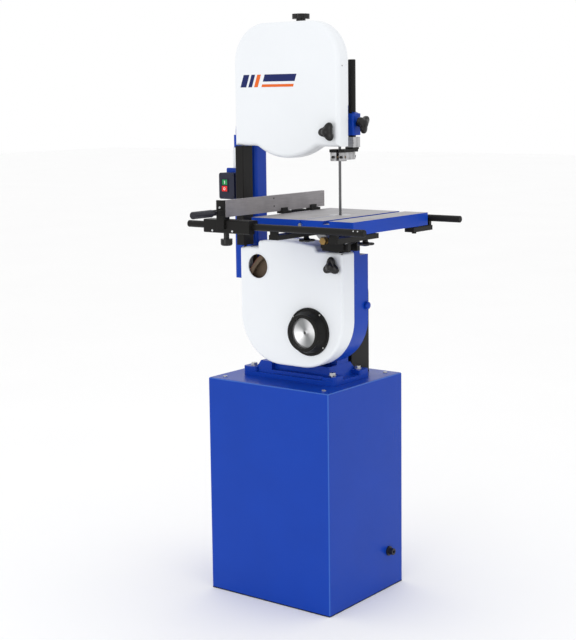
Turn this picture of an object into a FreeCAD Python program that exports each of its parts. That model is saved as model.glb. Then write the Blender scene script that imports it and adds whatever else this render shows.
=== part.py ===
import FreeCAD, Part
import math
import os

# Fourteen-inch vertical band saw on a closed sheet-steel cabinet. Millimetres.
# Origin: centre of the cabinet's base on the floor. +X operator's right, +Y back, +Z up.

V = FreeCAD.Vector

# ---- driving dimensions -------------------------------------------------------------------

# Clearances
touch_gap = 0.3          # between curved faces of pieces that move on one another
shaft_fit = 0.05         # radial running clearance of shafts and posts

# Cabinet
cabinet_w = 460.0
cabinet_d = 400.0
cabinet_h = 680.0
cabinet_wall = 2.0
cabinet_edge_r = 5.0
shelf_z = 240.0
access_w = 340.0
access_h = 500.0
access_z = 90.0

# Wheels and blade
wheel_d = 355.6
wheel_w = 26.0
tyre_t = 3.0
blade_loop = 2374.9
blade_w = 12.7
blade_t = 0.6
wheel_x = 55.0
wheel_y = -136.0
upper_wheel_z = 1558.25
axle_r = 10.0
spoke_count = 6

# Belt drive
pulley_y = 110.0
motor_z = 320.0
motor_pulley_r = 30.0
driven_pulley_r = 62.0
belt_w = 12.0
belt_t = 8.0

# Housings
upper_half_w = 194.0
upper_front_y = -162.0
upper_split_y = -124.0
upper_back_y = -116.0
upper_top_z = 1763.0
upper_bottom_z = 1400.0
upper_corner_r = 115.0
lower_left_x = -131.0
lower_right_x = 252.0
lower_bottom_z = 738.0
lower_top_z = 1092.0
lower_front_y = -154.0
lower_split_y = -94.5
lower_corner_r = 150.0
crown_x0 = -62.0
crown_x1 = 150.0
crown_left_z = 1112.0
crown_mid_z = 1119.0
crown_right_z = 1108.0
frame_back_y = -21.0
sheet_t = 2.5
casting_t = 9.0
dust_hole_r = 37.0
dust_hole_x = -61.0
dust_hole_z = 1035.0
port_x = 131.0
port_z = 850.0
port_r = 50.8
port_bore_r = 46.0

# Column and upper arm
column_x0 = -200.0
column_x1 = -110.0
column_y0 = -98.0
column_y1 = -36.0
column_foot_z = 985.0
column_joint_z = 1225.0
column_top_z = 1430.0

# Table
table_w = 355.0
table_d = 390.0
table_z = 1202.0
table_t = 12.0
rim_h = 37.0
rim_t = 8.0
table_y = -134.0
miter_x = 320.0
miter_w = 19.05
miter_depth = 9.5
insert_r = 31.75
insert_t = 3.0
trunnion_r = 90.0
trunnion_half_w = 66.0
tilt_limit_deg = 45.0

# Fence and rails
rail_r = 10.0
front_rail_y = -415.0
rear_rail_y = 83.0
rail_z = 1184.0
rail_x0 = -106.0
rail_x1 = 508.0
fence_face_x = 50.0
fence_t = 10.0
fence_h = 48.0
fence_lift = 7.5
fence_y0 = -436.0
fence_y1 = 40.0
arm_xs = (189.0, 393.0)

# Guide post
post_x = 233.0
post_y = -72.0
post_r = 11.0
post_top_z = 1650.0
guide_z = 1369.5

# ---- sizes worked out from the driving ones -----------------------------------------------

wheel_r = wheel_d / 2.0
wheel_span = (blade_loop - math.pi * wheel_d) / 2.0
lower_wheel_z = upper_wheel_z - wheel_span
blade_x = wheel_x + wheel_r + touch_gap + blade_t / 2.0
return_x = wheel_x - wheel_r - touch_gap - blade_t / 2.0
wheel_y0 = wheel_y - wheel_w / 2.0
wheel_y1 = wheel_y + wheel_w / 2.0
table_x0 = blade_x - table_w / 2.0
table_x1 = blade_x + table_w / 2.0
table_y0 = table_y - table_d / 2.0
table_y1 = table_y + table_d / 2.0
table_under_z = table_z - table_t
rim_z = table_z - rim_h


# ---- building helpers ---------------------------------------------------------------------

def box(x0, x1, y0, y1, z0, z1):
    return Part.makeBox(x1 - x0, y1 - y0, z1 - z0, V(x0, y0, z0))


def rod_x(y, z, r, x0, x1):
    return Part.makeCylinder(r, x1 - x0, V(x0, y, z), V(1, 0, 0))


def rod_y(x, z, r, y0, y1):
    return Part.makeCylinder(r, y1 - y0, V(x, y0, z), V(0, 1, 0))


def rod_z(x, y, r, z0, z1):
    return Part.makeCylinder(r, z1 - z0, V(x, y, z0), V(0, 0, 1))


def ring_y(x, z, r_out, r_in, y0, y1):
    return rod_y(x, z, r_out, y0, y1).cut(rod_y(x, z, r_in, y0 - 1, y1 + 1))


def ring_z(x, y, r_out, r_in, z0, z1):
    return rod_z(x, y, r_out, z0, z1).cut(rod_z(x, y, r_in, z0 - 1, z1 + 1))


def cone_y(x, z, r_front, r_back, y0, y1):
    return Part.makeCone(r_front, r_back, y1 - y0, V(x, y0, z), V(0, 1, 0))


def hexagon(centre, axis, across_flats, height):
    """Hexagonal prism standing on centre along axis."""
    radius = across_flats / math.sqrt(3.0)
    points = [V(radius * math.cos(math.radians(60 * i)), radius * math.sin(math.radians(60 * i)), 0)
              for i in range(7)]
    prism = Part.Face(Part.makePolygon(points)).extrude(V(0, 0, height))
    turn = FreeCAD.Rotation(V(0, 0, 1), axis)
    prism.Placement = FreeCAD.Placement(centre, turn)
    return prism


def join(pieces):
    result = pieces[0]
    if len(pieces) > 1:
        result = result.multiFuse(pieces[1:])
    return result.removeSplitter()


def cut_all(body, tools):
    for tool in tools:
        body = body.cut(tool)
    return body


def group(pieces):
    return Part.makeCompound(pieces)


def round_edges(shape, radius, chosen):
    """Fillet the edges that the chosen test accepts."""
    edges = [edge for edge in shape.Edges if chosen(edge)]
    return shape.makeFillet(radius, edges)


def runs_along(edge, axis):
    if len(edge.Vertexes) != 2:
        return False
    ends = edge.Vertexes[1].Point - edge.Vertexes[0].Point
    return ends.Length > 1e-6 and abs(abs(ends.dot(axis)) / ends.Length - 1.0) < 1e-6


def lies_at_y(edge, y):
    bounds = edge.BoundBox
    return abs(bounds.YMin - y) < 1e-4 and abs(bounds.YMax - y) < 1e-4


def rounded_box(x0, x1, y0, y1, z0, z1, radius, axis):
    """Box whose edges along the given axis are rounded."""
    return round_edges(box(x0, x1, y0, y1, z0, z1), radius, lambda edge: runs_along(edge, axis))


def loop_xz(x, low_z, low_r, high_z, high_r, y0, y1):
    """Solid under a belt laid round two circles, one above the other."""
    normal_z = (low_r - high_r) / (high_z - low_z)
    normal_x = math.sqrt(1.0 - normal_z ** 2)
    low_right = V(x + low_r * normal_x, y0, low_z + low_r * normal_z)
    low_left = V(x - low_r * normal_x, y0, low_z + low_r * normal_z)
    high_right = V(x + high_r * normal_x, y0, high_z + high_r * normal_z)
    high_left = V(x - high_r * normal_x, y0, high_z + high_r * normal_z)
    edges = [Part.makeLine(low_right, high_right),
             Part.Arc(high_right, V(x, y0, high_z + high_r), high_left).toShape(),
             Part.makeLine(high_left, low_left),
             Part.Arc(low_left, V(x, y0, low_z - low_r), low_right).toShape()]
    return Part.Face(Part.Wire(edges)).extrude(V(0, y1 - y0, 0))


def lobed_knob(lobes, lobe_r, reach, core_r, height, stem_r, stem_h):
    """Lobed hand knob along +Z from its stem's foot at the origin."""
    pieces = [rod_z(0, 0, stem_r, 0, stem_h + 1), rod_z(0, 0, core_r, stem_h, stem_h + height)]
    for i in range(lobes):
        angle = 2.0 * math.pi * i / lobes + math.pi / 2.0
        pieces.append(rod_z(reach * math.cos(angle), reach * math.sin(angle), lobe_r,
                            stem_h, stem_h + height))
    knob = join(pieces)
    top = stem_h + height

    def at_top(edge):
        bounds = edge.BoundBox
        return abs(bounds.ZMin - top) < 1e-4 and abs(bounds.ZMax - top) < 1e-4
    return round_edges(knob, height * 0.25, at_top)


def aim(shape, origin, direction):
    """Move a shape built along +Z so that it starts at origin and runs along direction."""
    placed = shape.copy()
    placed.Placement = FreeCAD.Placement(origin, FreeCAD.Rotation(V(0, 0, 1), direction))
    return placed


def bolt(head_seat, direction, head_flats, head_h, shank_r, shank_l):
    """Hex bolt: head outside the seat, shank going in against the direction."""
    head = hexagon(head_seat, direction, head_flats, head_h)
    shank = Part.makeCylinder(shank_r, shank_l, head_seat, direction * -1.0)
    return join([head, shank])


def save(name, shape):
    if not shape.isValid():
        print("NOT VALID", name)
    shape.exportStep("parts/" + name + ".step")


# ---- cabinet ------------------------------------------------------------------------------

half_w = cabinet_w / 2.0
half_d = cabinet_d / 2.0
belt_slot = (wheel_x - 75.0, wheel_x + 75.0, pulley_y - 20.0, pulley_y + 20.0)
foot_bolt_xs = (-142.0, 160.0)
foot_bolt_ys = (-78.0, 56.0)
access_x0 = -access_w / 2.0
access_x1 = access_w / 2.0
stud_r = 5.0
top_screw_x = 190.0
top_screw_y = 165.0
gland_z = 120.0
gland_y = 120.0
gland_r = 10.0


def make_cabinet():
    outer = round_edges(box(-half_w, half_w, -half_d, half_d, 0, cabinet_h), cabinet_edge_r,
                        lambda edge: runs_along(edge, V(0, 0, 1)) or
                        (edge.BoundBox.ZMin > cabinet_h - 0.01))
    inner = box(-half_w + cabinet_wall, half_w - cabinet_wall, -half_d + cabinet_wall,
                half_d - cabinet_wall, -1, cabinet_h - cabinet_wall)
    shell = outer.cut(inner)
    lip = 22.0
    floor_ring = box(-half_w + 1, half_w - 1, -half_d + 1, half_d - 1, 0, cabinet_wall)
    floor_ring = floor_ring.cut(box(-half_w + lip, half_w - lip, -half_d + lip, half_d - lip, -1, 5))
    opening = box(access_x0, access_x1, half_d - 5, half_d + 5, access_z, access_z + access_h)
    belt_way = box(*belt_slot, cabinet_h - 5, cabinet_h + 5)
    shell = join([shell, floor_ring, make_motor_shelf()]).cut(opening).cut(belt_way)
    holes = [rod_z(x, y, stud_r + 0.5, cabinet_h - 5, cabinet_h + 5)
             for x in foot_bolt_xs for y in foot_bolt_ys]
    holes += [rod_z(sx * top_screw_x, sy * top_screw_y, 3.2, cabinet_h - 5, cabinet_h + 5)
              for sx in (-1, 1) for sy in (-1, 1)]
    holes.append(rod_x(gland_y, gland_z, gland_r, half_w - 5, half_w + 5))
    return cut_all(shell, holes)


def make_motor_shelf():
    shelf = box(-half_w + cabinet_wall, half_w - cabinet_wall, -130, 80, shelf_z, shelf_z + 3)
    rear_fold = box(-half_w + cabinet_wall, half_w - cabinet_wall, 77, 80, shelf_z - 22, shelf_z + 1)
    front_fold = box(-half_w + cabinet_wall, half_w - cabinet_wall, -130, -127, shelf_z - 22, shelf_z + 1)
    shelf = join([shelf, rear_fold, front_fold])
    slots = [box(wheel_x + dx - 4, wheel_x + dx + 4, y - 12, y + 12, shelf_z - 5, shelf_z + 10)
             for dx in (-60, 60) for y in (-75, 15)]
    return cut_all(shelf, slots)


def make_access_door():
    """Rear door with a shallow folded tray, hinged on the left seen from the back."""
    y0 = half_d
    margin = 12.0
    face = box(access_x0 - margin, access_x1 + margin, y0 + 0.5, y0 + 2.5,
               access_z - margin, access_z + access_h + margin)
    tray = box(access_x0 + 3, access_x1 - 3, y0 - 11, y0 + 1, access_z + 3, access_z + access_h - 3)
    tray = tray.cut(box(access_x0 + 5, access_x1 - 5, y0 - 12, y0 + 0.5, access_z + 5,
                        access_z + access_h - 5))
    panel = join([face, tray])
    vents = [box(-70, 70, y0 - 2, y0 + 5, access_z + access_h - 60 - 16 * i,
                 access_z + access_h - 54 - 16 * i) for i in range(6)]
    keeper = rod_y(access_x0 + 22, access_z + access_h / 2.0, 6.2, y0 - 20, y0 + 10)
    panel = join([cut_all(panel, vents + [keeper])] + make_access_hinge_tabs())
    return cut_all(panel, [rod_z(access_hinge_x, access_hinge_y, 2.5 + shaft_fit, z - 1, z + 20)
                           for z in access_hinge_zs])


access_hinge_x = access_x1 + 18.0
access_hinge_y = half_d + 5.0
access_hinge_zs = (access_z + 70.0, access_z + access_h - 70.0)


def make_access_hinge_leaves():
    """Fixed leaves and pins of the two cabinet hinges."""
    pieces = []
    for z in access_hinge_zs:
        leaf = box(access_hinge_x, access_hinge_x + 30, half_d, half_d + 2, z - 20, z - 1)
        knuckle = rod_z(access_hinge_x, access_hinge_y, 4.5, z - 20, z - 1)
        web = box(access_hinge_x - 1, access_hinge_x + 4, half_d, half_d + 5, z - 20, z - 1)
        pin = rod_z(access_hinge_x, access_hinge_y, 2.5, z - 2, z + 21)
        pieces.append(join([leaf, web, knuckle, pin]))
    return pieces


def make_access_hinge_tabs():
    """Moving knuckles of the cabinet hinges, spot-welded to the rear door."""
    pieces = []
    for z in access_hinge_zs:
        leaf = box(access_hinge_x - 34, access_hinge_x - 1, half_d + 2.5, half_d + 4.5, z, z + 19)
        knuckle = rod_z(access_hinge_x, access_hinge_y, 4.5, z, z + 19)
        pieces.append(join([leaf, knuckle]))
    return pieces


def make_access_latch():
    """Quarter-turn latch: round knob outside, cam bar inside, turned clear of the wall."""
    x = access_x0 + 22.0
    z = access_z + access_h / 2.0
    knob = rod_y(x, z, 15, half_d + 3, half_d + 17)
    grip = box(x - 3, x + 3, half_d + 16, half_d + 24, z - 14, z + 14)
    stem = rod_y(x, z, 6, half_d - 16, half_d + 4)
    cam = box(x - 8, x + 8, half_d - 16, half_d - 12.5, z - 6, z + 38)
    return join([knob, grip, stem, cam])


def make_cable_gland():
    """Strain relief where the supply lead enters the cabinet's right side."""
    flange = rod_x(gland_y, gland_z, 15, half_w, half_w + 5)
    nose = rod_x(gland_y, gland_z, 10.5, half_w + 4, half_w + 20)
    neck = rod_x(gland_y, gland_z, gland_r - 0.3, half_w - 12, half_w + 1)
    bore = rod_x(gland_y, gland_z, 5, half_w - 20, half_w + 30)
    nut = hexagon(V(half_w - 8, gland_y, gland_z), V(1, 0, 0), 26, 6)
    return join([flange, nose, neck, nut]).cut(bore)


def make_top_screws():
    """Flush screws in the corners of the cabinet top."""
    pieces = []
    for sx in (-1, 1):
        for sy in (-1, 1):
            x = sx * top_screw_x
            y = sy * top_screw_y
            head = rod_z(x, y, 6.5, cabinet_h, cabinet_h + 2.5)
            shank = rod_z(x, y, 3, cabinet_h - 14, cabinet_h + 1)
            pieces.append(join([head, shank]).cut(rod_z(x, y, 2, cabinet_h + 1, cabinet_h + 4)))
    return pieces


# ---- frame --------------------------------------------------------------------------------

foot_x0 = -166.0
foot_x1 = 186.0
foot_y0 = -104.0
foot_y1 = 82.0
foot_t = 14.0
foot_pad_t = 28.0
bearing_r = 17.5
housing_r = 32.0
housing_y1 = 62.0


def lower_outline(y, inset):
    """Outline shared by the lower door and the lower casting, as a face across Y."""
    x0 = lower_left_x + inset
    x1 = lower_right_x - inset
    z0 = lower_bottom_z + inset
    z1 = lower_top_z - inset
    r = lower_corner_r - inset
    c = r * (1.0 - math.sqrt(0.5))
    edges = [Part.makeLine(V(x1, y, z1), V(x1, y, z0 + r)),
             Part.Arc(V(x1, y, z0 + r), V(x1 - c, y, z0 + c), V(x1 - r, y, z0)).toShape(),
             Part.makeLine(V(x1 - r, y, z0), V(x0 + r, y, z0)),
             Part.Arc(V(x0 + r, y, z0), V(x0 + c, y, z0 + c), V(x0, y, z0 + r)).toShape(),
             Part.makeLine(V(x0, y, z0 + r), V(x0, y, z1)),
             Part.makeLine(V(x0, y, z1), V(x1, y, z1))]
    return Part.Face(Part.Wire(edges))


def lower_prism(y0, y1, inset):
    return lower_outline(y0, inset).extrude(V(0, y1 - y0, 0))


def lower_door_prism(y0, y1, inset):
    """Lower door's outline: the casting's outline with a raised, gently arched top."""
    base = lower_prism(y0, y1, inset)
    left = crown_x0 + inset
    right = crown_x1 - inset
    top_left = V(left, y0, crown_left_z - inset)
    top_right = V(right, y0, crown_right_z - inset)
    edges = [Part.makeLine(V(left, y0, 1000), top_left),
             Part.Arc(top_left, V(30, y0, crown_mid_z - inset), top_right).toShape(),
             Part.makeLine(top_right, V(right + 14, y0, 1080)),
             Part.makeLine(V(right + 14, y0, 1080), V(right + 14, y0, 1000)),
             Part.makeLine(V(right + 14, y0, 1000), V(left, y0, 1000))]
    crown = Part.Face(Part.Wire(edges)).extrude(V(0, y1 - y0, 0))
    return join([base, crown])


trunnion_lug = (168.0, 248.0, -103.0, -64.0, 1060.0, 1112.0)
lug_step_y = lower_split_y + 0.5
lug_step_z = lower_top_z + 1.2


def make_lower_frame():
    """Cast dish behind the lower wheel with the lower column, bearing housing and trunnion lug."""
    front = lower_split_y + 0.5
    back = frame_back_y
    dish = lower_door_prism(front, back, 0.0)
    dish = dish.cut(lower_prism(front - 1, back - casting_t, casting_t))
    crown_room = box(crown_x0 + casting_t, crown_x1 - casting_t, front - 1, -64 - casting_t, 1070,
                     crown_right_z - casting_t)
    top_step = box(lower_left_x + 60, 400, -64, 10, 1078, 1200)
    column = round_edges(box(column_x0, column_x1, column_y0, column_y1, column_foot_z, column_joint_z),
                         12.0, lambda edge: runs_along(edge, V(0, 0, 1)))
    lug = join([box(*trunnion_lug[:3], trunnion_lug[3], lug_step_z, trunnion_lug[5]),
                box(trunnion_lug[0], trunnion_lug[1], lug_step_y, *trunnion_lug[3:])])
    latch = box(lower_knob_x - 11, lower_right_x - casting_t + 1, -93, -78, lower_knob_z - 11,
                lower_knob_z + 11)
    housing = rod_y(wheel_x, lower_wheel_z, housing_r, -96, housing_y1)
    boss = rod_y(222, lower_wheel_z - 5, 19, back - 2, -5)
    pad = box(foot_x0 + 60, foot_x1 - 44, back - casting_t, 30, lower_bottom_z - 8,
              lower_bottom_z + 20)
    cable_lug = box(column_x1 - 2, -15, column_y0, column_y0 + 34, 1146, 1172)
    lug_hole = rod_z(-32, column_y0 + 17, 5.5, 1100, 1200)
    ribs = []
    for turn in range(4):
        profile = Part.makePolygon([V(wheel_x + housing_r - 2, housing_y1 - 12, lower_wheel_z - 4),
                                    V(wheel_x + housing_r - 2, back - 1, lower_wheel_z - 4),
                                    V(wheel_x + 108, back - 1, lower_wheel_z - 4),
                                    V(wheel_x + housing_r - 2, housing_y1 - 12, lower_wheel_z - 4)])
        rib = Part.Face(profile).extrude(V(0, 0, 8))
        rib.rotate(V(wheel_x, 0, lower_wheel_z), V(0, 1, 0), 90.0 * turn)
        ribs.append(rib)
    door_room = box(lower_left_x - 1, column_x1 + 20, column_y0 - 1, lower_split_y + 0.5,
                    column_foot_z - 5, lower_top_z + 4)
    body = dish.cut(crown_room).cut(top_step)
    column = column.cut(door_room)
    body = join([body, column, lug, latch, housing, boss, pad, cable_lug] + ribs)
    bore = rod_y(wheel_x, lower_wheel_z, bearing_r - 3, -120, 80)
    screw_holes = [rod_y(wheel_x + side * 25, lower_wheel_z, 2.2, housing_y1 - 10, 80)
                   for side in (-1, 1)]
    seats = [rod_y(wheel_x, lower_wheel_z, bearing_r, -97, -84),
             rod_y(wheel_x, lower_wheel_z, bearing_r, housing_y1 - 12, 80)]
    cradle_holes = [rod_y(x, cradle_bolt_z, 3.2, -110, -60) for x in cradle_bolt_xs]
    joint_hole = rod_z((column_x0 + column_x1) / 2, (column_y0 + column_y1) / 2, 8.2,
                       column_joint_z - 75, column_joint_z + 5)
    bolt_window = box(column_x0 - 5, column_x0 + 62, column_y0 + 17, column_y1 - 17,
                      column_joint_z - 90, column_joint_z - 62)
    latch_hole = rod_y(lower_knob_x, lower_knob_z, knob_stud_r + shaft_fit, -100, -70)
    return cut_all(body, [bore, joint_hole, bolt_window, latch_hole, lug_hole] + seats + cradle_holes
                   + screw_holes)


def make_frame_foot():
    """Cast foot: four bolted pads on a base plate with flared walls up to the lower frame."""
    plate = rounded_box(foot_x0, foot_x1, foot_y0, foot_y1, cabinet_h, cabinet_h + foot_t, 14,
                        V(0, 0, 1))
    pads = [rounded_box(x - 26, x + 26, y - 24, y + 24, cabinet_h, cabinet_h + foot_pad_t, 9,
                        V(0, 0, 1)) for x in foot_bolt_xs for y in foot_bolt_ys]
    top_z = lower_bottom_z - 8.0
    low = [V(foot_x0 + 26, foot_y0 + 12, cabinet_h), V(foot_x1 - 26, foot_y0 + 12, cabinet_h),
           V(foot_x1 - 26, foot_y1 - 12, cabinet_h), V(foot_x0 + 26, foot_y1 - 12, cabinet_h)]
    high = [V(foot_x0 + 60, foot_y0 + 14, top_z), V(foot_x1 - 44, foot_y0 + 14, top_z),
            V(foot_x1 - 44, foot_y1 - 40, top_z), V(foot_x0 + 60, foot_y1 - 40, top_z)]
    flare = Part.makeLoft([Part.makePolygon(low + low[:1]), Part.makePolygon(high + high[:1])], True)
    body = join([plate, flare] + pads)
    belt_way = box(wheel_x - guard_half_w - 1, wheel_x + guard_half_w + 1, guard_y0 - 1, 200, 0, 1000)
    wheel_room = box(wheel_x - 118, wheel_x + 118, -200, lower_split_y + 22, cabinet_h + 24, 1000)
    holes = [rod_z(x, y, stud_r + 0.3, cabinet_h - 5, cabinet_h + 40)
             for x in foot_bolt_xs for y in foot_bolt_ys]
    clamp_holes = [rod_z(x, y, 4.2, top_z - 30, top_z + 5) for x in (-60, 110) for y in (-20, 10)]
    return cut_all(body, [belt_way, wheel_room] + holes + clamp_holes)


def make_foot_bolts():
    """Hex bolts, washers and nuts that hold the foot on the cabinet top."""
    seat = cabinet_h + foot_pad_t
    pieces = []
    for x in foot_bolt_xs:
        for y in foot_bolt_ys:
            washer = rod_z(x, y, 11, seat, seat + 2)
            body = bolt(V(x, y, seat + 1.5), V(0, 0, 1), 17, 7.5, stud_r, foot_pad_t + 16)
            nut = hexagon(V(x, y, cabinet_h - cabinet_wall - 8), V(0, 0, 1), 17, 8)
            pieces.append(join([washer, body, nut]))
    return pieces


def arm_outline(y):
    """Closed outline of the upper arm's web, across Y."""
    points = [V(column_x0, y, column_joint_z + 110), V(column_x1, y, column_joint_z + 110),
              V(column_x1, y, 1418), V(-60, y, 1440)]
    low_right = V(196, y, 1426)
    edges = [Part.makePolygon(points),
             Part.Arc(points[-1], V(60, y, 1452), low_right).toShape(),
             Part.makePolygon([low_right, V(251, y, 1431), V(251, y, 1494), V(214, y, 1510)]),
             Part.Arc(V(214, y, 1510), V(176, y, 1590), V(108, y, 1662)).toShape(),
             Part.makePolygon([V(108, y, 1662), V(2, y, 1662)]),
             Part.Arc(V(2, y, 1662), V(-140, y, 1585), V(column_x0, y, 1440)).toShape(),
             Part.makeLine(V(column_x0, y, 1440), points[0])]
    wires = []
    for edge in edges:
        wires += edge.Edges
    return Part.Face(Part.Wire(Part.__sortEdges__(wires)))


guard_screw_places = ((-100.0, 1445.0), (226.0, 1480.0), (wheel_x - 44.0, 1650.0),
                      (wheel_x + 44.0, 1650.0))
cradle_bolt_xs = (221.0, 242.0)
cradle_bolt_z = 1103.0
web_y0 = -81.0
web_y1 = -61.0
arm_y0 = -91.0
arm_y1 = -57.0
slide_x0 = wheel_x - 36.0
slide_x1 = wheel_x + 36.0
slide_y0 = -104.0
slide_y1 = -50.0
slide_z0 = upper_wheel_z - 46.0
slide_z1 = upper_wheel_z + 46.0
slide_travel = 12.0
window_z0 = slide_z0 - slide_travel - 4.0
window_z1 = slide_z1 + 34.0
tension_x = wheel_x
tension_y = -78.0
tension_r = 6.0
post_boss = (214.0, 251.0, arm_y0, -52.0, 1431.0, 1494.0)


def make_upper_frame():
    """Cast upper arm: column top, curved web, wheel-slide window, post boss and switch ear."""
    web = arm_outline(web_y0).extrude(V(0, web_y1 - web_y0, 0))
    column = round_edges(box(column_x0, column_x1, column_y0, column_y1, column_joint_z + 0.2,
                             column_top_z), 12.0, lambda edge: runs_along(edge, V(0, 0, 1)))
    boss = round_edges(box(*post_boss), 5.0, lambda edge: runs_along(edge, V(0, 0, 1)))
    frame_ring = box(slide_x0 - 16, slide_x1 + 16, arm_y0, arm_y1 + 2, window_z0 - 14, window_z1 + 16)
    sleeve = rod_z(tension_x, tension_y, 10, window_z1, 1762)
    ear = round_edges(box(switch_x0 + 8, column_x0 + 40, column_y0 - 4, column_y0 + 0.5,
                          switch_z0 + 6, switch_z1 + 14), 5.0, lambda e: runs_along(e, V(0, 1, 0)))
    ear = join([ear, box(switch_x0 + 8, column_x0 + 20, column_y0, column_y0 + 14, switch_z0 + 20,
                         switch_z1 - 10)])
    body = join([web, column, boss, frame_ring, sleeve, ear])
    window = box(slide_x0 - touch_gap, slide_x1 + touch_gap, -200, 0, window_z0, window_z1)
    post_bore = rod_z(post_x, post_y, post_r + shaft_fit, 1400, 1520)
    clamp_bore = rod_x(post_y, clamp_z, 5.0, post_x, 260)
    screw_bore = rod_z(tension_x, tension_y, tension_r + shaft_fit, window_z1 - 5, 1800)
    joint_hole = rod_z((column_x0 + column_x1) / 2, (column_y0 + column_y1) / 2, 8.2,
                       column_joint_z - 5, column_joint_z + 40)
    lightening = [box(-150, -72, -200, 0, 1462, 1530), box(118, 186, -200, 0, 1470, 1560)]
    rail_slots = [box(slide_x0 - 7, slide_x0, -78, -70, window_z0, window_z1),
                  box(slide_x1, slide_x1 + 7, -78, -70, window_z0, window_z1)]
    guard_holes = [rod_y(x, z, 3.2, arm_y0 - 1, web_y0 + 8) for x, z in guard_screw_places]
    return cut_all(body, [window, post_bore, clamp_bore, screw_bore, joint_hole] + lightening
                   + rail_slots + guard_holes)


def make_column_bolt():
    """Long bolt that clamps the upper arm on the lower column, with its nut in the window."""
    x = (column_x0 + column_x1) / 2
    y = (column_y0 + column_y1) / 2
    shank = rod_z(x, y, 8, column_joint_z - 84, column_joint_z + 38)
    nut = hexagon(V(x, y, column_joint_z - 75.5), V(0, 0, 1), 24, 12.5)
    return join([shank, nut])


# ---- wheels, blade and drive --------------------------------------------------------------

def make_wheel(z, hub_y0, hub_y1, bore_r):
    """Cast wheel: rim, web with round windows and hub."""
    rim_r = wheel_r - tyre_t
    rim = ring_y(wheel_x, z, rim_r, rim_r - 11, wheel_y0, wheel_y1)
    web = ring_y(wheel_x, z, rim_r - 10, 20, wheel_y + 2, wheel_y + 9)
    hub = rod_y(wheel_x, z, 29, hub_y0, hub_y1)
    ribs = [box(wheel_x + 24, wheel_x + rim_r - 8, wheel_y - 4, wheel_y + 3, z - 4, z + 4)]
    pieces = [rim, web, hub]
    windows = []
    for i in range(spoke_count):
        turn = 360.0 / spoke_count * i
        rib = ribs[0].copy()
        rib.rotate(V(wheel_x, 0, z), V(0, 1, 0), turn)
        pieces.append(rib)
        angle = math.radians(turn + 180.0 / spoke_count)
        windows.append(rod_y(wheel_x + 98 * math.cos(angle), z + 98 * math.sin(angle), 33, -200, 0))
    wheel = join(pieces)
    return cut_all(wheel, windows + [rod_y(wheel_x, z, bore_r, -200, 0)])


def make_tyre(z):
    return ring_y(wheel_x, z, wheel_r, wheel_r - tyre_t, wheel_y0, wheel_y1)


def make_blade():
    """Blade loop round both wheels with a row of fine teeth on its front edge."""
    inner_r = wheel_r + touch_gap
    outer_r = inner_r + blade_t
    y0 = wheel_y - blade_w / 2.0
    y1 = wheel_y + blade_w / 2.0
    outer = loop_xz(wheel_x, lower_wheel_z, outer_r, upper_wheel_z, outer_r, y0, y1)
    inner = loop_xz(wheel_x, lower_wheel_z, inner_r, upper_wheel_z, inner_r, y0 - 1, y1 + 1)
    return outer.cut(inner)


shaft_y0 = -148.0
shaft_y1 = 130.0


def make_lower_shaft():
    """Drive shaft with the wheel nut in front and the pulley collar behind."""
    shaft = rod_y(wheel_x, lower_wheel_z, axle_r, shaft_y0, shaft_y1)
    nut = hexagon(V(wheel_x, -148, lower_wheel_z), V(0, 1, 0), 24, 4)
    return join([shaft, nut])


def make_bearings(z, ys, outer_r, inner_r, width):
    """Sealed ball bearings on one shaft, each as one ring."""
    return group([ring_y(wheel_x, z, outer_r, inner_r, y, y + width) for y in ys])


def make_pulley(z, pitch_r, bore_r):
    """V-belt pulley with one groove."""
    half = belt_w / 2.0 + 5.0
    body = ring_y(wheel_x, z, pitch_r + belt_t / 2.0, bore_r, pulley_y - half, pulley_y + half)
    floor_r = pitch_r - belt_t / 2.0 - 1.0
    top_r = pitch_r + belt_t / 2.0 + 1.0
    floor_half = belt_w / 2.0 - 2.0 + touch_gap + 0.2
    top_half = belt_w / 2.0 + touch_gap + 0.7
    profile = Part.makePolygon([V(floor_r, -floor_half, 0), V(top_r, -top_half, 0),
                                V(top_r, top_half, 0), V(floor_r, floor_half, 0),
                                V(floor_r, -floor_half, 0)])
    groove = Part.Face(profile).revolve(V(0, 0, 0), V(0, 1, 0), 360)
    groove.translate(V(wheel_x, pulley_y, z))
    hub = ring_y(wheel_x, z, bore_r + 8, bore_r, pulley_y - half - 8, pulley_y - half + 1)
    return join([body, hub]).cut(groove)


def make_v_belt():
    """V-belt between the motor pulley and the wheel-shaft pulley."""
    low_r = motor_pulley_r
    high_r = driven_pulley_r
    half = belt_w / 2.0
    halves = []
    steps = 2
    for i in range(steps):
        width = half - (1.6 if i == 0 else 0.4)
        r_in = -belt_t / 2.0 + belt_t * i / steps
        r_out = -belt_t / 2.0 + belt_t * (i + 1) / steps
        outer = loop_xz(wheel_x, motor_z, low_r + r_out, lower_wheel_z, high_r + r_out,
                        pulley_y - width, pulley_y + width)
        inner = loop_xz(wheel_x, motor_z, low_r + r_in, lower_wheel_z, high_r + r_in,
                        pulley_y - width - 1, pulley_y + width + 1)
        halves.append(outer.cut(inner))
    return join(halves)


motor_body_r = 72.0
motor_y0 = -118.0
motor_y1 = 62.0
motor_shaft_r = 8.0


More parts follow.
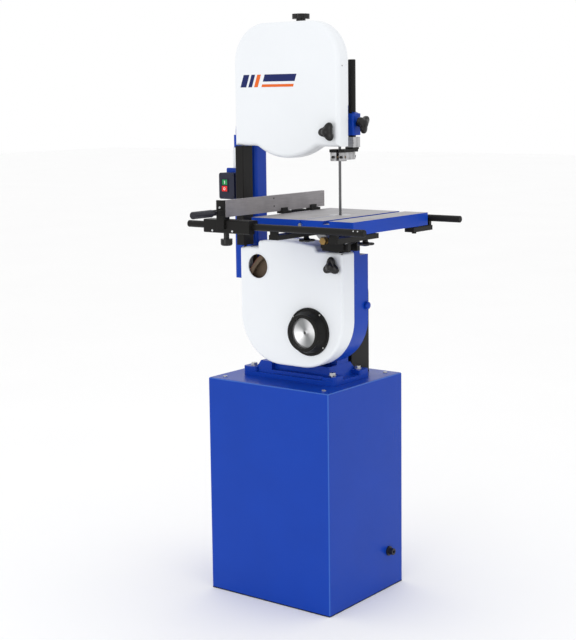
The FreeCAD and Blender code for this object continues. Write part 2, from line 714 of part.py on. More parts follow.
def make_motor():
    """Motor body: finned barrel, end bells, foot rails and capacitor box."""
    barrel = ring_y(wheel_x, motor_z, motor_body_r, 50, motor_y0 + 20, motor_y1 - 20)
    fins = []
    for i in range(24):
        angle = math.radians(15.0 * i)
        fin = box(wheel_x + motor_body_r - 1, wheel_x + motor_body_r + 3, motor_y0 + 26, motor_y1 - 26,
                  motor_z - 1.2, motor_z + 1.2)
        fin.rotate(V(wheel_x, 0, motor_z), V(0, 1, 0), math.degrees(angle))
        fins.append(fin)
    front_bell = rod_y(wheel_x, motor_z, motor_body_r - 3, motor_y0, motor_y0 + 21)
    rear_bell = rod_y(wheel_x, motor_z, motor_body_r - 3, motor_y1 - 21, motor_y1)
    feet = [box(wheel_x + sx * 60 - 14, wheel_x + sx * 60 + 14, -100, 40, shelf_z + 3, shelf_z + 9)
            for sx in (-1, 1)]
    legs = [box(wheel_x + sx * 46 - 5, wheel_x + sx * 46 + 5, -90, 30, shelf_z + 4, motor_z - 50)
            for sx in (-1, 1)]
    capacitor = rounded_box(wheel_x - 40, wheel_x + 40, -80, 20, motor_z + 62, motor_z + 100, 10,
                            V(0, 1, 0))
    body = join([barrel, front_bell, rear_bell, capacitor] + fins + feet + legs)
    rotor_room = rod_y(wheel_x, motor_z, motor_shaft_r + shaft_fit, motor_y0 - 1, motor_y1 + 1)
    core = rod_y(wheel_x, motor_z, 46, motor_y0 + 20, motor_y1 - 20)
    bolts = [rod_z(wheel_x + dx, y, 3.4, shelf_z - 5, shelf_z + 12) for dx in (-60, 60)
             for y in (-75, 15)]
    return cut_all(body, [rotor_room, core] + bolts)


def make_motor_rotor():
    """Rotor core on its shaft."""
    core = rod_y(wheel_x, motor_z, 45, motor_y0 + 30, motor_y1 - 30)
    shaft = rod_y(wheel_x, motor_z, motor_shaft_r, motor_y0 + 4, pulley_y + 12)
    return join([core, shaft])


def make_motor_bolts():
    pieces = []
    for dx in (-60, 60):
        for y in (-75, 15):
            screw = bolt(V(wheel_x + dx, y, shelf_z + 9), V(0, 0, 1), 11, 5, 3.2, 20)
            nut = hexagon(V(wheel_x + dx, y, shelf_z - 5), V(0, 0, 1), 11, 5)
            pieces.append(join([screw, nut]))
    return pieces


guard_half_w = 78.0
guard_y0 = 62.0
guard_y1 = 162.0


def make_belt_guard():
    """Closed cover over the pulley on the wheel shaft, standing on the cabinet top."""
    z0 = cabinet_h + 0.3

    def arch(half, y0, y1, foot):
        block = box(wheel_x - half, wheel_x + half, y0, y1, foot, lower_wheel_z)
        return join([block, rod_y(wheel_x, lower_wheel_z, half, y0, y1)])
    outer = arch(guard_half_w, guard_y0, guard_y1, z0)
    outer = round_edges(outer, 6.0, lambda edge: lies_at_y(edge, guard_y1)
                        and edge.BoundBox.ZMax > z0 + 1)
    inner = arch(guard_half_w - 2.5, guard_y0 + 2.5, guard_y1 - 2.5, z0 - 1)
    shaft_way = rod_y(wheel_x, lower_wheel_z, axle_r + 4, guard_y0 - 5, guard_y0 + 5)
    screw_ways = [rod_y(wheel_x + side * 25, lower_wheel_z, 2.2, guard_y0 - 5, guard_y0 + 5)
                  for side in (-1, 1)]
    vents = [box(wheel_x - 40, wheel_x + 40, guard_y1 - 5, guard_y1 + 5, lower_wheel_z - 120 - 18 * i,
                 lower_wheel_z - 114 - 18 * i) for i in range(5)]
    return cut_all(outer, [inner, shaft_way] + screw_ways + vents)


def make_belt_guard_screws():
    """Screws through the guard's inner wall into the end of the bearing housing."""
    pieces = []
    for side in (-1, 1):
        x = wheel_x + side * 25
        shank = rod_y(x, lower_wheel_z, 2.2, housing_y1 - 10, guard_y0 + 3)
        head = rod_y(x, lower_wheel_z, 4.5, guard_y0 + 2.5, guard_y0 + 5.5)
        pieces.append(join([shank, head]))
    return pieces


# ---- wheel housings -----------------------------------------------------------------------

def upper_prism(y0, y1, inset):
    """Upper housing's outline as a prism: rounded box with a round bulge below."""
    half = upper_half_w - inset
    body = box(wheel_x - half, wheel_x + half, y0, y1, upper_bottom_z + inset, upper_top_z - inset)
    body = round_edges(body, upper_corner_r - inset,
                       lambda edge: runs_along(edge, V(0, 1, 0)) and edge.BoundBox.ZMin > 1600)
    bulge = rod_y(wheel_x, upper_wheel_z, half - 0.5, y0, y1)
    body = join([body, bulge.common(box(-300, 400, y0, y1, 1300, upper_wheel_z))])

    def in_valley(edge):
        middle = edge.BoundBox.Center
        inside = abs(middle.x - wheel_x) < half - 10
        return runs_along(edge, V(0, 1, 0)) and inside and abs(middle.z - upper_bottom_z - inset) < 1
    return round_edges(body, 34.0 + inset, in_valley)


hinge_r = 4.0
hinge_pin_r = 2.5
upper_hinge_x = wheel_x - upper_half_w - 5.0
upper_hinge_y = upper_split_y
upper_hinge_zs = (1455.0, 1610.0)
lower_hinge_x = lower_left_x - 5.0
lower_hinge_y = column_y0 - 5.0
lower_hinge_zs = (920.0, 1050.0)
knuckle_l = 18.0


def hinge_knuckles(x, y, zs, anchor_x, strap_y0, strap_y1, moving):
    """Knuckles on one side of a hinge, with straps to the anchor edge; the fixed side has the pins."""
    pieces = []
    for z in zs:
        z0 = z + touch_gap if moving else z - knuckle_l
        barrel = rod_z(x, y, hinge_r, z0, z0 + knuckle_l)
        strap = box(x, anchor_x, y + strap_y0, y + strap_y1, z0, z0 + knuckle_l)
        solids = [barrel, strap]
        if not moving:
            solids.append(rod_z(x, y, hinge_pin_r, z - 1, z + knuckle_l))
        pieces.append(join(solids))
    return pieces


upper_knob_x = 217.0
upper_knob_z = 1443.0
lower_knob_x = 222.0
lower_knob_z = 1052.0
knob_stud_r = 4.0


def blade_ways(hinge_x, hinge_y, door_left_x, z0, z1):
    """Room in a door's end wall so that it swings past both runs of the blade about its hinge."""
    near_y = hinge_y - (wheel_y - blade_w / 2.0)
    sweep_r = math.hypot(return_x - hinge_x, near_y) + 3.0
    swing = rod_z(hinge_x, hinge_y, sweep_r, z0, z1)
    swing = swing.common(box(door_left_x + sheet_t, hinge_x + 80, -150, hinge_y + 12, z0, z1))
    cutting = box(blade_x - 8, blade_x + 8, wheel_y - blade_w / 2.0 - 6, hinge_y + 12, z0, z1)
    return [swing, cutting]


def make_upper_door():
    outer = upper_prism(upper_front_y, upper_split_y - 0.2, 0.0)
    outer = round_edges(outer, 14.0, lambda edge: lies_at_y(edge, upper_front_y))
    inner = upper_prism(upper_front_y + sheet_t, upper_split_y + 5, sheet_t)
    inner = round_edges(inner, 11.0, lambda edge: lies_at_y(edge, upper_front_y + sheet_t))
    boss = rod_y(upper_knob_x, upper_knob_z, 9, upper_front_y + 1, upper_split_y - 1)
    hinges = hinge_knuckles(upper_hinge_x, upper_hinge_y, upper_hinge_zs, wheel_x - upper_half_w + 1,
                            -4.2, -0.5, True)
    body = join([outer.cut(inner), boss] + hinges)
    hole = rod_y(upper_knob_x, upper_knob_z, knob_stud_r + shaft_fit, -200, -100)
    pins = [rod_z(upper_hinge_x, upper_hinge_y, hinge_pin_r + shaft_fit, z - 5, z + 30)
            for z in upper_hinge_zs]
    ways = blade_ways(upper_hinge_x, upper_hinge_y, wheel_x - upper_half_w, upper_bottom_z - 5,
                      upper_bottom_z + 8)
    return cut_all(body, [hole] + pins + ways)


def make_upper_rear_guard():
    """Pressed back half of the upper wheel housing."""
    outer = upper_prism(upper_split_y, upper_back_y, 0.0)
    inner = upper_prism(upper_split_y - 5, upper_back_y - sheet_t, sheet_t)
    latch = rod_y(upper_knob_x, upper_knob_z, 9, upper_split_y + 0.5, upper_back_y)
    hinges = hinge_knuckles(upper_hinge_x, upper_hinge_y, upper_hinge_zs, wheel_x - upper_half_w + 1,
                            0.5, 4.2, False)
    body = join([outer.cut(inner), latch] + hinges)
    axle_way = box(wheel_x - 34, wheel_x + 34, -200, -50, upper_wheel_z - 46, upper_wheel_z + 34)
    holes = [rod_y(x, z, 3.2, -200, 0) for x, z in guard_screw_places]
    stud_hole = rod_y(upper_knob_x, upper_knob_z, knob_stud_r + shaft_fit, -200, -100)
    return cut_all(body, [axle_way, stud_hole] + holes)


def make_upper_guard_mounts():
    """Spacers and screws that hold the rear guard on the arm."""
    pieces = []
    for x, z in guard_screw_places:
        spacer_back = web_y0 if x < -50 else arm_y0
        head = rod_y(x, z, 5.5, upper_back_y - sheet_t - 3, upper_back_y - sheet_t)
        spacer = rod_y(x, z, 7, upper_back_y, spacer_back)
        shank = rod_y(x, z, 3, upper_back_y - sheet_t - 1, spacer_back + 6)
        pieces.append(join([head, spacer, shank]))
    return pieces


def make_door_knob(x, z, front_y, stud_back_y):
    """Three-lobed latch knob on its threaded stud."""
    knob = aim(lobed_knob(3, 10.5, 17.0, 15.0, 20.0, 11.0, 8.0), V(x, front_y - 0.4, z), V(0, -1, 0))
    stud = rod_y(x, z, knob_stud_r, front_y - 6, stud_back_y)
    return join([knob, stud])


def make_lower_door():
    outer = lower_door_prism(lower_front_y, lower_split_y, 0.0)
    corners = [edge for edge in outer.Edges if runs_along(edge, V(0, 1, 0))
               and edge.BoundBox.ZMin > lower_top_z - 1
               and abs(edge.BoundBox.Center.x - crown_x0) > 1
               or runs_along(edge, V(0, 1, 0)) and edge.BoundBox.ZMin > lower_top_z + 10]
    outer = outer.makeFillet(9.0, corners)
    outer = round_edges(outer, 8.0, lambda edge: lies_at_y(edge, lower_front_y))
    inner = lower_door_prism(lower_front_y + sheet_t, lower_split_y + 5, sheet_t)
    boss = rod_y(lower_knob_x, lower_knob_z, 9, lower_front_y + 1, lower_split_y - 1)
    rim = rod_y(dust_hole_x, dust_hole_z, dust_hole_r + 3, lower_front_y - 1.2, lower_front_y + 1)
    hinges = hinge_knuckles(lower_hinge_x, lower_hinge_y, lower_hinge_zs, lower_left_x + 1,
                            -4.2, -0.5, True)
    body = join([outer.cut(inner), boss, rim] + hinges)
    dust_hole = rod_y(dust_hole_x, dust_hole_z, dust_hole_r, -200, -100)
    port_hole = rod_y(port_x, port_z, port_r, -200, -140)
    knob_hole = rod_y(lower_knob_x, lower_knob_z, knob_stud_r + shaft_fit, -200, -60)
    pins = [rod_z(lower_hinge_x, lower_hinge_y, hinge_pin_r + shaft_fit, z - 5, z + 30)
            for z in lower_hinge_zs]
    ways = blade_ways(lower_hinge_x, lower_hinge_y, lower_left_x, lower_top_z - 8, lower_top_z + 5)
    return cut_all(body, [dust_hole, port_hole, knob_hole] + pins + ways)


def make_port_collar():
    """Black collar round the outlet on the lower door."""
    flange = rod_y(port_x, port_z, 72.5, lower_front_y - 7, lower_front_y)
    flange = round_edges(flange, 3.0, lambda e: lies_at_y(e, lower_front_y - 7))
    flare = cone_y(port_x, port_z, 55, 66, lower_front_y - 30, lower_front_y - 6)
    lip = rod_y(port_x, port_z, 56, lower_front_y - 37, lower_front_y - 28)
    lip = round_edges(lip, 3.0, lambda e: lies_at_y(e, lower_front_y - 37))
    tube = rod_y(port_x, port_z, port_r - 0.2, lower_front_y - 1, lower_front_y + sheet_t - 0.3)
    return join([flange, flare, lip, tube]).cut(rod_y(port_x, port_z, port_bore_r, -220, -140))


def make_port_disc():
    """Dished aluminium disc that closes the outlet, with its centre screw boss."""
    y0 = lower_front_y - 24.0
    disc = rod_y(port_x, port_z, port_bore_r, y0, y0 + 8)
    dish = cone_y(port_x, port_z, 40, 13, y0 - 0.1, y0 + 5)
    hub = rod_y(port_x, port_z, 9, y0 + 2, y0 + 8)
    head = rod_y(port_x, port_z, 6, y0, y0 + 3)
    slot = box(port_x - 7, port_x + 7, y0 - 3, y0 + 1, port_z - 0.8, port_z + 0.8)
    return join([disc.cut(dish), hub, head]).cut(slot)


channel_x0 = -138.0
channel_x1 = -108.0
channel_z0 = lower_top_z + 5.0
channel_z1 = upper_bottom_z - 1.5


def make_return_channel():
    """Channel guard over the returning blade between the two housings."""
    outer = box(channel_x0, channel_x1, -162, -115, channel_z0, channel_z1)
    outer = round_edges(outer, 4.0, lambda e: runs_along(e, V(0, 0, 1)) and e.BoundBox.YMax < -160)
    inner = box(channel_x0 + 2, channel_x1 - 2, -160, -114, channel_z0 - 1, channel_z1 + 1)
    tabs = [box(channel_x0, channel_x0 + 2, -118, column_y0, z, z + 30)
            for z in (channel_z0 + 40, channel_z1 - 90)]
    feet = [box(channel_x0 - 16, channel_x0 + 2, column_y0 - 2, column_y0, z, z + 30)
            for z in (channel_z0 + 40, channel_z1 - 90)]
    return join([outer.cut(inner)] + tabs + feet)


def make_channel_screws():
    return [rod_y(channel_x0 - 9, z, 5, column_y0 - 5.5, column_y0 - 2)
            for z in (channel_z0 + 55, channel_z1 - 75)]


# ---- upper wheel tensioning and tracking --------------------------------------------------

pivot_z = upper_wheel_z
pivot_y = -84.0
tracking_arm = 34.0


def make_tension_slide():
    """Block that slides in the arm's window and carries the axle bracket."""
    block = box(slide_x0, slide_x1, -78, slide_y1, slide_z0, slide_z1)
    fork = [box(slide_x0, slide_x0 + 12, slide_y0 + 4, -77, pivot_z - 24, pivot_z + 24),
            box(slide_x1 - 12, slide_x1, slide_y0 + 4, -77, pivot_z - 24, pivot_z + 24)]
    tongues = [box(slide_x0 - 6.5, slide_x0 + 1, -77.5, -70.5, slide_z0, slide_z1),
               box(slide_x1 - 1, slide_x1 + 6.5, -77.5, -70.5, slide_z0, slide_z1)]
    nose = box(tension_x - 12, tension_x + 12, slide_y0 + 14, -70, slide_z1 - 12, slide_z1)
    body = join([block, nose] + fork + tongues)
    pin_hole = rod_x(pivot_y, pivot_z, 4.0, -100, 200)
    screw_hole = rod_z(tension_x, tension_y, tension_r + 0.3, slide_z1 - 40, slide_z1 + 10)
    tracking_hole = rod_y(wheel_x, pivot_z - tracking_arm, 4.0 + shaft_fit, -120, 0)
    return cut_all(body, [pin_hole, screw_hole, tracking_hole])


def make_axle_bracket():
    """Rocking bracket on the slide's cross pin; it tilts the upper wheel to track the blade."""
    block = rounded_box(slide_x0 + 12.6, slide_x1 - 12.6, -102, -79.5, pivot_z - 42, pivot_z + 18, 6,
                        V(0, 1, 0))
    bore = rod_x(pivot_y, pivot_z, 4.0, -100, 200)
    tracking_pad = rod_y(wheel_x, pivot_z - tracking_arm, 6.5, -81, -79)
    axle_hole = rod_y(wheel_x, pivot_z, axle_r, -110, -90)
    tracking_seat = block.common(tracking_pad)
    return cut_all(block, [bore, axle_hole, tracking_seat])


def make_axle():
    """Upper wheel axle, pressed in the rocking bracket, with its end washer and screw."""
    axle = rod_y(wheel_x, pivot_z, axle_r, -147, -90)
    washer = rod_y(wheel_x, pivot_z, 13, -149.5, -147)
    screw = hexagon(V(wheel_x, -153.5, pivot_z), V(0, 1, 0), 13, 4.2)
    return join([axle, washer, screw])


def make_pivot_pin():
    return rod_x(pivot_y, pivot_z, 3.95, slide_x0, slide_x1)


def make_tension_knob():
    """Fluted hand knob pinned on the tension screw, with the screw's thrust collar."""
    z0 = 1769.0
    knob = rod_z(tension_x, tension_y, 26, z0 + 4, z0 + 19)
    flutes = [rod_z(tension_x + 28 * math.cos(math.radians(30 * i)),
                    tension_y + 28 * math.sin(math.radians(30 * i)), 4.2, z0, z0 + 30)
              for i in range(12)]
    neck = rod_z(tension_x, tension_y, 14, z0 - 6, z0 + 5)
    shaft = rod_z(tension_x, tension_y, tension_r, slide_z1 - 26, z0)
    collar = rod_z(tension_x, tension_y, 11, window_z1 - 5, window_z1 - touch_gap)
    return join([cut_all(knob, flutes), neck, shaft, collar])


def make_tension_spring():
    """Compression spring on the screw between the collar and the slide, as a plain sleeve."""
    return ring_z(tension_x, tension_y, 9.5, tension_r + 0.6, slide_z1 + 0.3, window_z1 - 5.3)


def make_tracking_knob():
    """Rear tracking screw with its round knob and lock nut."""
    z = pivot_z - tracking_arm
    screw = rod_y(wheel_x, z, 4.0, -79.2, -22)
    knob = rod_y(wheel_x, z, 16, -34, -20)
    notches = [rod_y(wheel_x + 18 * math.cos(math.radians(45 * i)),
                     z + 18 * math.sin(math.radians(45 * i)), 4.0, -40, -10) for i in range(8)]
    return cut_all(join([screw, knob]), notches)


# ---- guide post ---------------------------------------------------------------------------

clamp_z = 1465.0
holder_z0 = 1396.0
holder_z1 = 1426.0
guide_half_h = 11.5


def make_guide_post():
    post = rod_z(post_x, post_y, post_r, holder_z0 + 4, post_top_z)
    return post.makeChamfer(1.5, [e for e in post.Edges if e.BoundBox.ZMin > post_top_z - 1])


def make_post_holder():
    """Machined block clamped on the foot of the guide post."""
    block = rounded_box(post_x - 14, post_x + 17, post_y - 16, post_y + 18, holder_z0, holder_z1, 3,
                        V(0, 0, 1))
    bore = rod_z(post_x, post_y, post_r, holder_z0 + 4, holder_z1 + 5)
    split = box(post_x, post_x + 40, post_y - 1, post_y + 1, holder_z0 - 1, holder_z1 + 1)
    screw_way = rod_y(post_x + 14, (holder_z0 + holder_z1) / 2, 2.6, -140, 0)
    return cut_all(block, [bore, split, screw_way])


def make_holder_screw():
    z = (holder_z0 + holder_z1) / 2
    head = rod_y(post_x + 14, z, 4.4, post_y - 20, post_y - 16)
    shank = rod_y(post_x + 14, z, 2.5, post_y - 17, post_y + 14)
    return join([head, shank]).cut(hexagon(V(post_x + 14, post_y - 21, z), V(0, 1, 0), 4, 3))


bracket_z0 = 1383.0
bracket_z1 = 1392.0


def make_guide_bracket():
    """Black bracket from the post holder forward over the blade guides, with the thrust knob."""
    foot = box(post_x - 14, post_x + 14, post_y - 16, post_y + 14, bracket_z1 - 2, holder_z0)
    tongue = box(post_x - 14, post_x + 14, post_y - 50, post_y + 10, bracket_z0, bracket_z1)
    cross = box(post_x - 29, post_x + 22, wheel_y - 13, wheel_y + 22, bracket_z0, bracket_z1)
    body = join([foot, tongue, cross])
    body = round_edges(body, 3.0, lambda e: runs_along(e, V(0, 0, 1)) and e.BoundBox.YMax < -140)
    blade_gap = box(blade_x - 2.5, blade_x + 2.5, -200, wheel_y + 9, bracket_z0 - 1, bracket_z1 + 1)
    return group([body.cut(blade_gap), make_thrust_knob()])


def make_guide_blocks():
    """Machined jaws each side of the blade, under the bracket."""
    pieces = []
    for side in (-1, 1):
        near = blade_x + side * 5.0
        far = blade_x + side * (26.0 if side < 0 else 20.0)
        jaw = box(min(near, far), max(near, far), wheel_y - 11, wheel_y + 6, guide_z - guide_half_h,
                  bracket_z0)
        jaw = round_edges(jaw, 2.0, lambda e: runs_along(e, V(0, 1, 0)) and e.BoundBox.ZMax < guide_z)
        finger_way = rod_x(wheel_y - 1, guide_z, 4.0, min(near, far) - 1, max(near, far) + 1)
        screw_way = rod_y((near + far) / 2, guide_z, 2.0, wheel_y - 14, wheel_y - 3)
        pieces.append(cut_all(jaw, [finger_way, screw_way]))
    spine = box(blade_x + 6, blade_x + 20, wheel_y + 5, wheel_y + 50, guide_z - 8, bracket_z0)
    spine = spine.cut(box(blade_x, blade_x + 14, wheel_y + 5, wheel_y + 24, guide_z - 20, guide_z + 9))
    pieces[1] = join([pieces[1], spine])
    tail = box(blade_x - 9, blade_x + 8, wheel_y + 36, wheel_y + 50, guide_z - 8, guide_z + 8)
    pieces[1] = join([pieces[1], tail]).cut(rod_y(blade_x, guide_z, 4.0, wheel_y + 30, wheel_y + 60))
    return pieces


def make_guide_fingers():
    """Bronze guide fingers each side of the blade and the thrust bearing behind it."""
    pieces = [make_thrust_bearing()]
    for side in (-1, 1):
        near = blade_x + side * (blade_t / 2.0 + touch_gap)
        far = blade_x + side * (23.0 if side < 0 else 18.0)
        pieces.append(rod_x(wheel_y - 1, guide_z, 4.0, min(near, far), max(near, far)))
    return group(pieces)


def make_guide_screws():
    """Cap screws that lock the guide fingers and the post holder."""
    pieces = [make_holder_screw()]
    for side in (-1, 1):
        far = blade_x + side * (26.0 if side < 0 else 20.0)
        x = (blade_x + side * 5.0 + far) / 2
        head = rod_y(x, guide_z, 4.0, wheel_y - 15, wheel_y - 11)
        shank = rod_y(x, guide_z, 2.0, wheel_y - 12, wheel_y - 5)
        pieces.append(join([head, shank]).cut(hexagon(V(x, wheel_y - 16, guide_z), V(0, 1, 0), 3.5, 3)))
    return pieces


def make_thrust_bearing():
    """Thrust bearing behind the blade."""
    front = wheel_y + blade_w / 2.0 + touch_gap
    race = rod_y(blade_x, guide_z, 8.5, front, front + 6)
    stem = rod_y(blade_x, guide_z, 4.0 - shaft_fit, front + 5, wheel_y + 52)
    return join([race, stem])


def make_thrust_knob():
    """Knurled knob that sets the thrust bearing fore and aft."""
    y0 = wheel_y + 52.0
    knob = rod_y(blade_x, guide_z, 8.0, y0, y0 + 20)
    knob = knob.makeChamfer(1.5, [e for e in knob.Edges if lies_at_y(e, y0 + 20)])
    grooves = [rod_y(blade_x + 8.6 * math.cos(math.radians(30 * i)),
                     guide_z + 8.6 * math.sin(math.radians(30 * i)), 1.2, y0 - 1, y0 + 30)
               for i in range(12)]
    return cut_all(knob, grooves)


def make_clamp_knob():
    """Three-lobed knob whose screw clamps the guide post in the arm."""
    x0 = post_boss[1]
    knob = aim(lobed_knob(3, 10.5, 17.0, 15.0, 22.0, 11.0, 10.0), V(x0 + 0.6, post_y, clamp_z),
               V(1, 0, 0))
    screw = rod_x(post_y, clamp_z, 5.0 - shaft_fit, post_x + post_r + touch_gap, x0 + 8)
    return join([knob, screw])


# ---- lower blade guides and trunnion ------------------------------------------------------

cradle_z0 = 1097.0
cradle_half_w = 46.0
cradle_bridge_z = 1108.0
cradle_top_z = 1134.0
cradle_y0 = -165.0
front_band = (-164.7, -150.0)
rear_band = (-118.0, -103.0)
lock_x = 205.0
lock_z = 1128.0
lock_reach = math.hypot(lock_x - blade_x, lock_z - table_z)


def make_trunnion_cradle():
    """Black cradle on the frame's lug: two concave tracks and a front lip with the lock hole."""
    pieces = []
    lip_y0 = cradle_y0 - 6.0
    for y0, y1 in (front_band, rear_band):
        pieces.append(box(blade_x - cradle_half_w, blade_x + cradle_half_w, y0, y1, cradle_z0,
                          cradle_top_z))
    bridge = box(blade_x - cradle_half_w, blade_x - 22, front_band[0], rear_band[1], cradle_z0,
                 cradle_bridge_z)
    track_cut = rod_y(blade_x, table_z, trunnion_r + touch_gap, -200, -50)
    body = join([cut_all(p, [track_cut]) for p in pieces] + [bridge])
    lip = box(blade_x - cradle_half_w, blade_x + 35, lip_y0, front_band[0], cradle_z0, 1137)
    lip = lip.cut(rod_y(blade_x, table_z, lock_reach - 10.0, -200, -50))
    lip = lip.common(rod_y(blade_x, table_z, trunnion_r + 16.0, -200, -50))
    body = join([body, lip])
    lock_hole = rod_y(lock_x, lock_z, 4.0 + shaft_fit, -200, -160)
    holes = [rod_y(x, cradle_bolt_z, 3.2, -120, -60) for x in cradle_bolt_xs]
    return cut_all(body, [lock_hole] + holes)


def make_cradle_bolts():
    pieces = []
    for x in cradle_bolt_xs:
        head = rod_y(x, cradle_bolt_z, 5.0, rear_band[0] - 4, rear_band[0])
        shank = rod_y(x, cradle_bolt_z, 3.0, rear_band[0] - 1, -80)
        pieces.append(join([head, shank]))
    return pieces


def make_trunnions():
    """Two curved trunnions under the table; the front one has the lock slot."""
    pieces = []
    for y0, y1 in ((front_band[0] + touch_gap, front_band[1]), (rear_band[0], rear_band[1] - 0.5)):
        disc = rod_y(blade_x, table_z, trunnion_r, y0, y1)
        block = box(blade_x - trunnion_half_w, blade_x + trunnion_half_w, y0, y1, 1100, table_under_z)
        crescent = disc.common(block)
        hollow = rod_y(blade_x, table_z, 68.0, y0 - 1, y1 + 1)
        hollow = hollow.common(box(0, 400, -300, 0, 1000, table_under_z - 9))
        pieces.append(crescent.cut(hollow))
    slot_half = 4.5
    ring = ring_y(blade_x, table_z, lock_reach + slot_half, lock_reach - slot_half, -180, -140)
    start = math.degrees(math.atan2(lock_x - blade_x, table_z - lock_z)) - 5.0
    stop = start + tilt_limit_deg + 10.0
    reach = 150.0
    wedge = Part.makePolygon([V(blade_x, -180, table_z)]
                             + [V(blade_x + reach * math.sin(math.radians(a)), -180,
                                  table_z - reach * math.cos(math.radians(a)))
                                for a in (start, (start + stop) / 2, stop)]
                             + [V(blade_x, -180, table_z)])
    wedge = Part.Face(wedge).extrude(V(0, 40, 0))
    pieces[0] = pieces[0].cut(ring.common(wedge))
    tie = box(blade_x - trunnion_half_w, blade_x - 30, front_band[1] - 1, rear_band[0] + 1,
              table_under_z - 8, table_under_z)
    return join([pieces[0], pieces[1], tie])


def make_trunnion_lock():
    """Brass-headed lock bolt through the cradle lip and the trunnion's slot."""
    head = hexagon(V(lock_x, cradle_y0 - 22, lock_z), V(0, 1, 0), 20, 12)
    collar = rod_y(lock_x, lock_z, 11, cradle_y0 - 10.5, cradle_y0 - 6.4)
    shank = rod_y(lock_x, lock_z, 4.0, cradle_y0 - 12, -141)
    return join([head, collar, shank])


def make_lock_nut():
    """Nut behind the front trunnion; it draws the trunnion against the lip."""
    nut = hexagon(V(lock_x, front_band[1] + touch_gap, lock_z), V(0, 1, 0), 13, 6)
    return nut.cut(rod_y(lock_x, lock_z, 4.0 + shaft_fit, -160, -130))


def make_lower_guides():
    """Lower blade guides on the cradle's bridge: two jaws and a thrust rod behind the blade."""
    z0 = 1122.0
    z1 = 1140.0
    y0 = wheel_y - 9.0
    y1 = wheel_y + 9.0
    back = y1 + 8.0
    left = box(blade_x - 19, blade_x - touch_gap - blade_t / 2, y0, y1 - 3, z0, z1)
    right = box(blade_x + touch_gap + blade_t / 2, blade_x + 21, y0, y1 - 3, z0, z1)
    spine = box(blade_x - 43, blade_x + 21, y1 - 1, back, z0, z1 - 6)
    ties = [box(blade_x + sx * 14.5 - 6.5, blade_x + sx * 14.5 + 6.5, y1 - 4, y1, z0, z1 - 6)
            for sx in (-1, 1)]
    foot = box(blade_x - 43, blade_x - 24, y0 + 5, back, cradle_bridge_z, z0 + 1)
    rod = rod_y(blade_x, (z0 + z1) / 2 - 3, 4.0, wheel_y + blade_w / 2 + touch_gap, y1)
    return join([left, right, spine, foot, rod] + ties)


def make_zero_stop():
    """Stop bolt on the cradle's bridge that the table rests on at zero tilt."""
    x = blade_x - 52.0
    y = wheel_y
    shank = rod_z(x, y, 4.0, cradle_bridge_z, table_under_z - 9)
    head = hexagon(V(x, y, table_under_z - 12.3), V(0, 0, 1), 13, 4)
    nut = hexagon(V(x, y, cradle_bridge_z), V(0, 0, 1), 13, 6)
    return join([shank, head, nut])


# ---- table --------------------------------------------------------------------------------

arm_half = 16.0
arm_t = 14.0
arm_z1 = rim_z - 2.5
arm_front_y = -397.5
star_y = -243.0
rear_bolt_y = 12.0


def make_table():
    """Cast table with a rim, blade slit, insert seat, miter slot and bolted bosses."""
    plate = box(table_x0, table_x1, table_y0, table_y1, table_under_z, table_z)
    rim = box(table_x0, table_x1, table_y0, table_y1, rim_z, table_z)
    rim = rim.cut(box(table_x0 + rim_t, table_x1 - rim_t, table_y0 + rim_t, table_y1 - rim_t, 0,
                      table_under_z))
    slot_bed = box(miter_x - 20, miter_x + 20, table_y0 + 1, table_y1 - 1, table_under_z - 8,
                   table_under_z + 1)
    corner_lug = rod_z(table_x1 - 14, table_y1 - 14, 10, rim_z, table_under_z + 1)
    bosses = [rod_z(x, y, 13, arm_z1, table_under_z + 1)
              for x in arm_xs for y in (star_y, rear_bolt_y)]
    body = join([plate, rim, slot_bed, corner_lug] + bosses)
    body = round_edges(body, 3.0, lambda e: runs_along(e, V(0, 0, 1)) and e.Length > rim_h - 1)
    miter = box(miter_x - miter_w / 2, miter_x + miter_w / 2, table_y0 - 1, table_y1 + 1,
                table_z - miter_depth, table_z + 1)
    tee = box(miter_x - miter_w / 2 - 2, miter_x + miter_w / 2 + 2, table_y0 - 1, table_y1 + 1,
              table_z - miter_depth, table_z - miter_depth + 3.5)
    seat = rod_z(blade_x, wheel_y, insert_r, table_z - insert_t, table_z + 1)
    throat = rod_z(blade_x, wheel_y, insert_r - 5, rim_z, table_z + 1)
    slit = box(blade_x - 1.2, blade_x + 1.2, table_y0 - 1, wheel_y, rim_z - 1, table_z + 1)
    pin_hole = rod_y(blade_x, table_z - 14, 3.0, table_y0 - 1, table_y0 + 26)
    studs = [rod_z(x, y, 4.0 + shaft_fit, arm_z1 - 1, table_under_z - 2) for x in arm_xs
             for y in (star_y, rear_bolt_y)]
    return cut_all(body, [miter, tee, seat, throat, slit, pin_hole] + studs)


def make_table_insert():
    """Round aluminium throat insert with the blade slot."""
    disc = rod_z(blade_x, wheel_y, insert_r - 0.1, table_z - insert_t, table_z)
    slot = box(blade_x - 1.6, blade_x + 4.6, wheel_y - insert_r - 1, wheel_y + 10, table_z - insert_t - 1,
               table_z + 1)
    return disc.cut(slot)


def make_table_pin():
    """Tapered levelling pin that closes the slit at the front edge."""
    y0 = table_y0 - 6.0
    head = rod_y(blade_x, table_z - 14, 5, y0, table_y0)
    shank = rod_y(blade_x, table_z - 14, 2.9, y0 + 1, table_y0 + 24)
    return join([head, shank])


def make_rail(y):
    rail = rod_x(y, rail_z, rail_r, rail_x0, rail_x1)
    return rail.makeChamfer(1.5, [e for e in rail.Edges if e.BoundBox.XLength < 0.01])


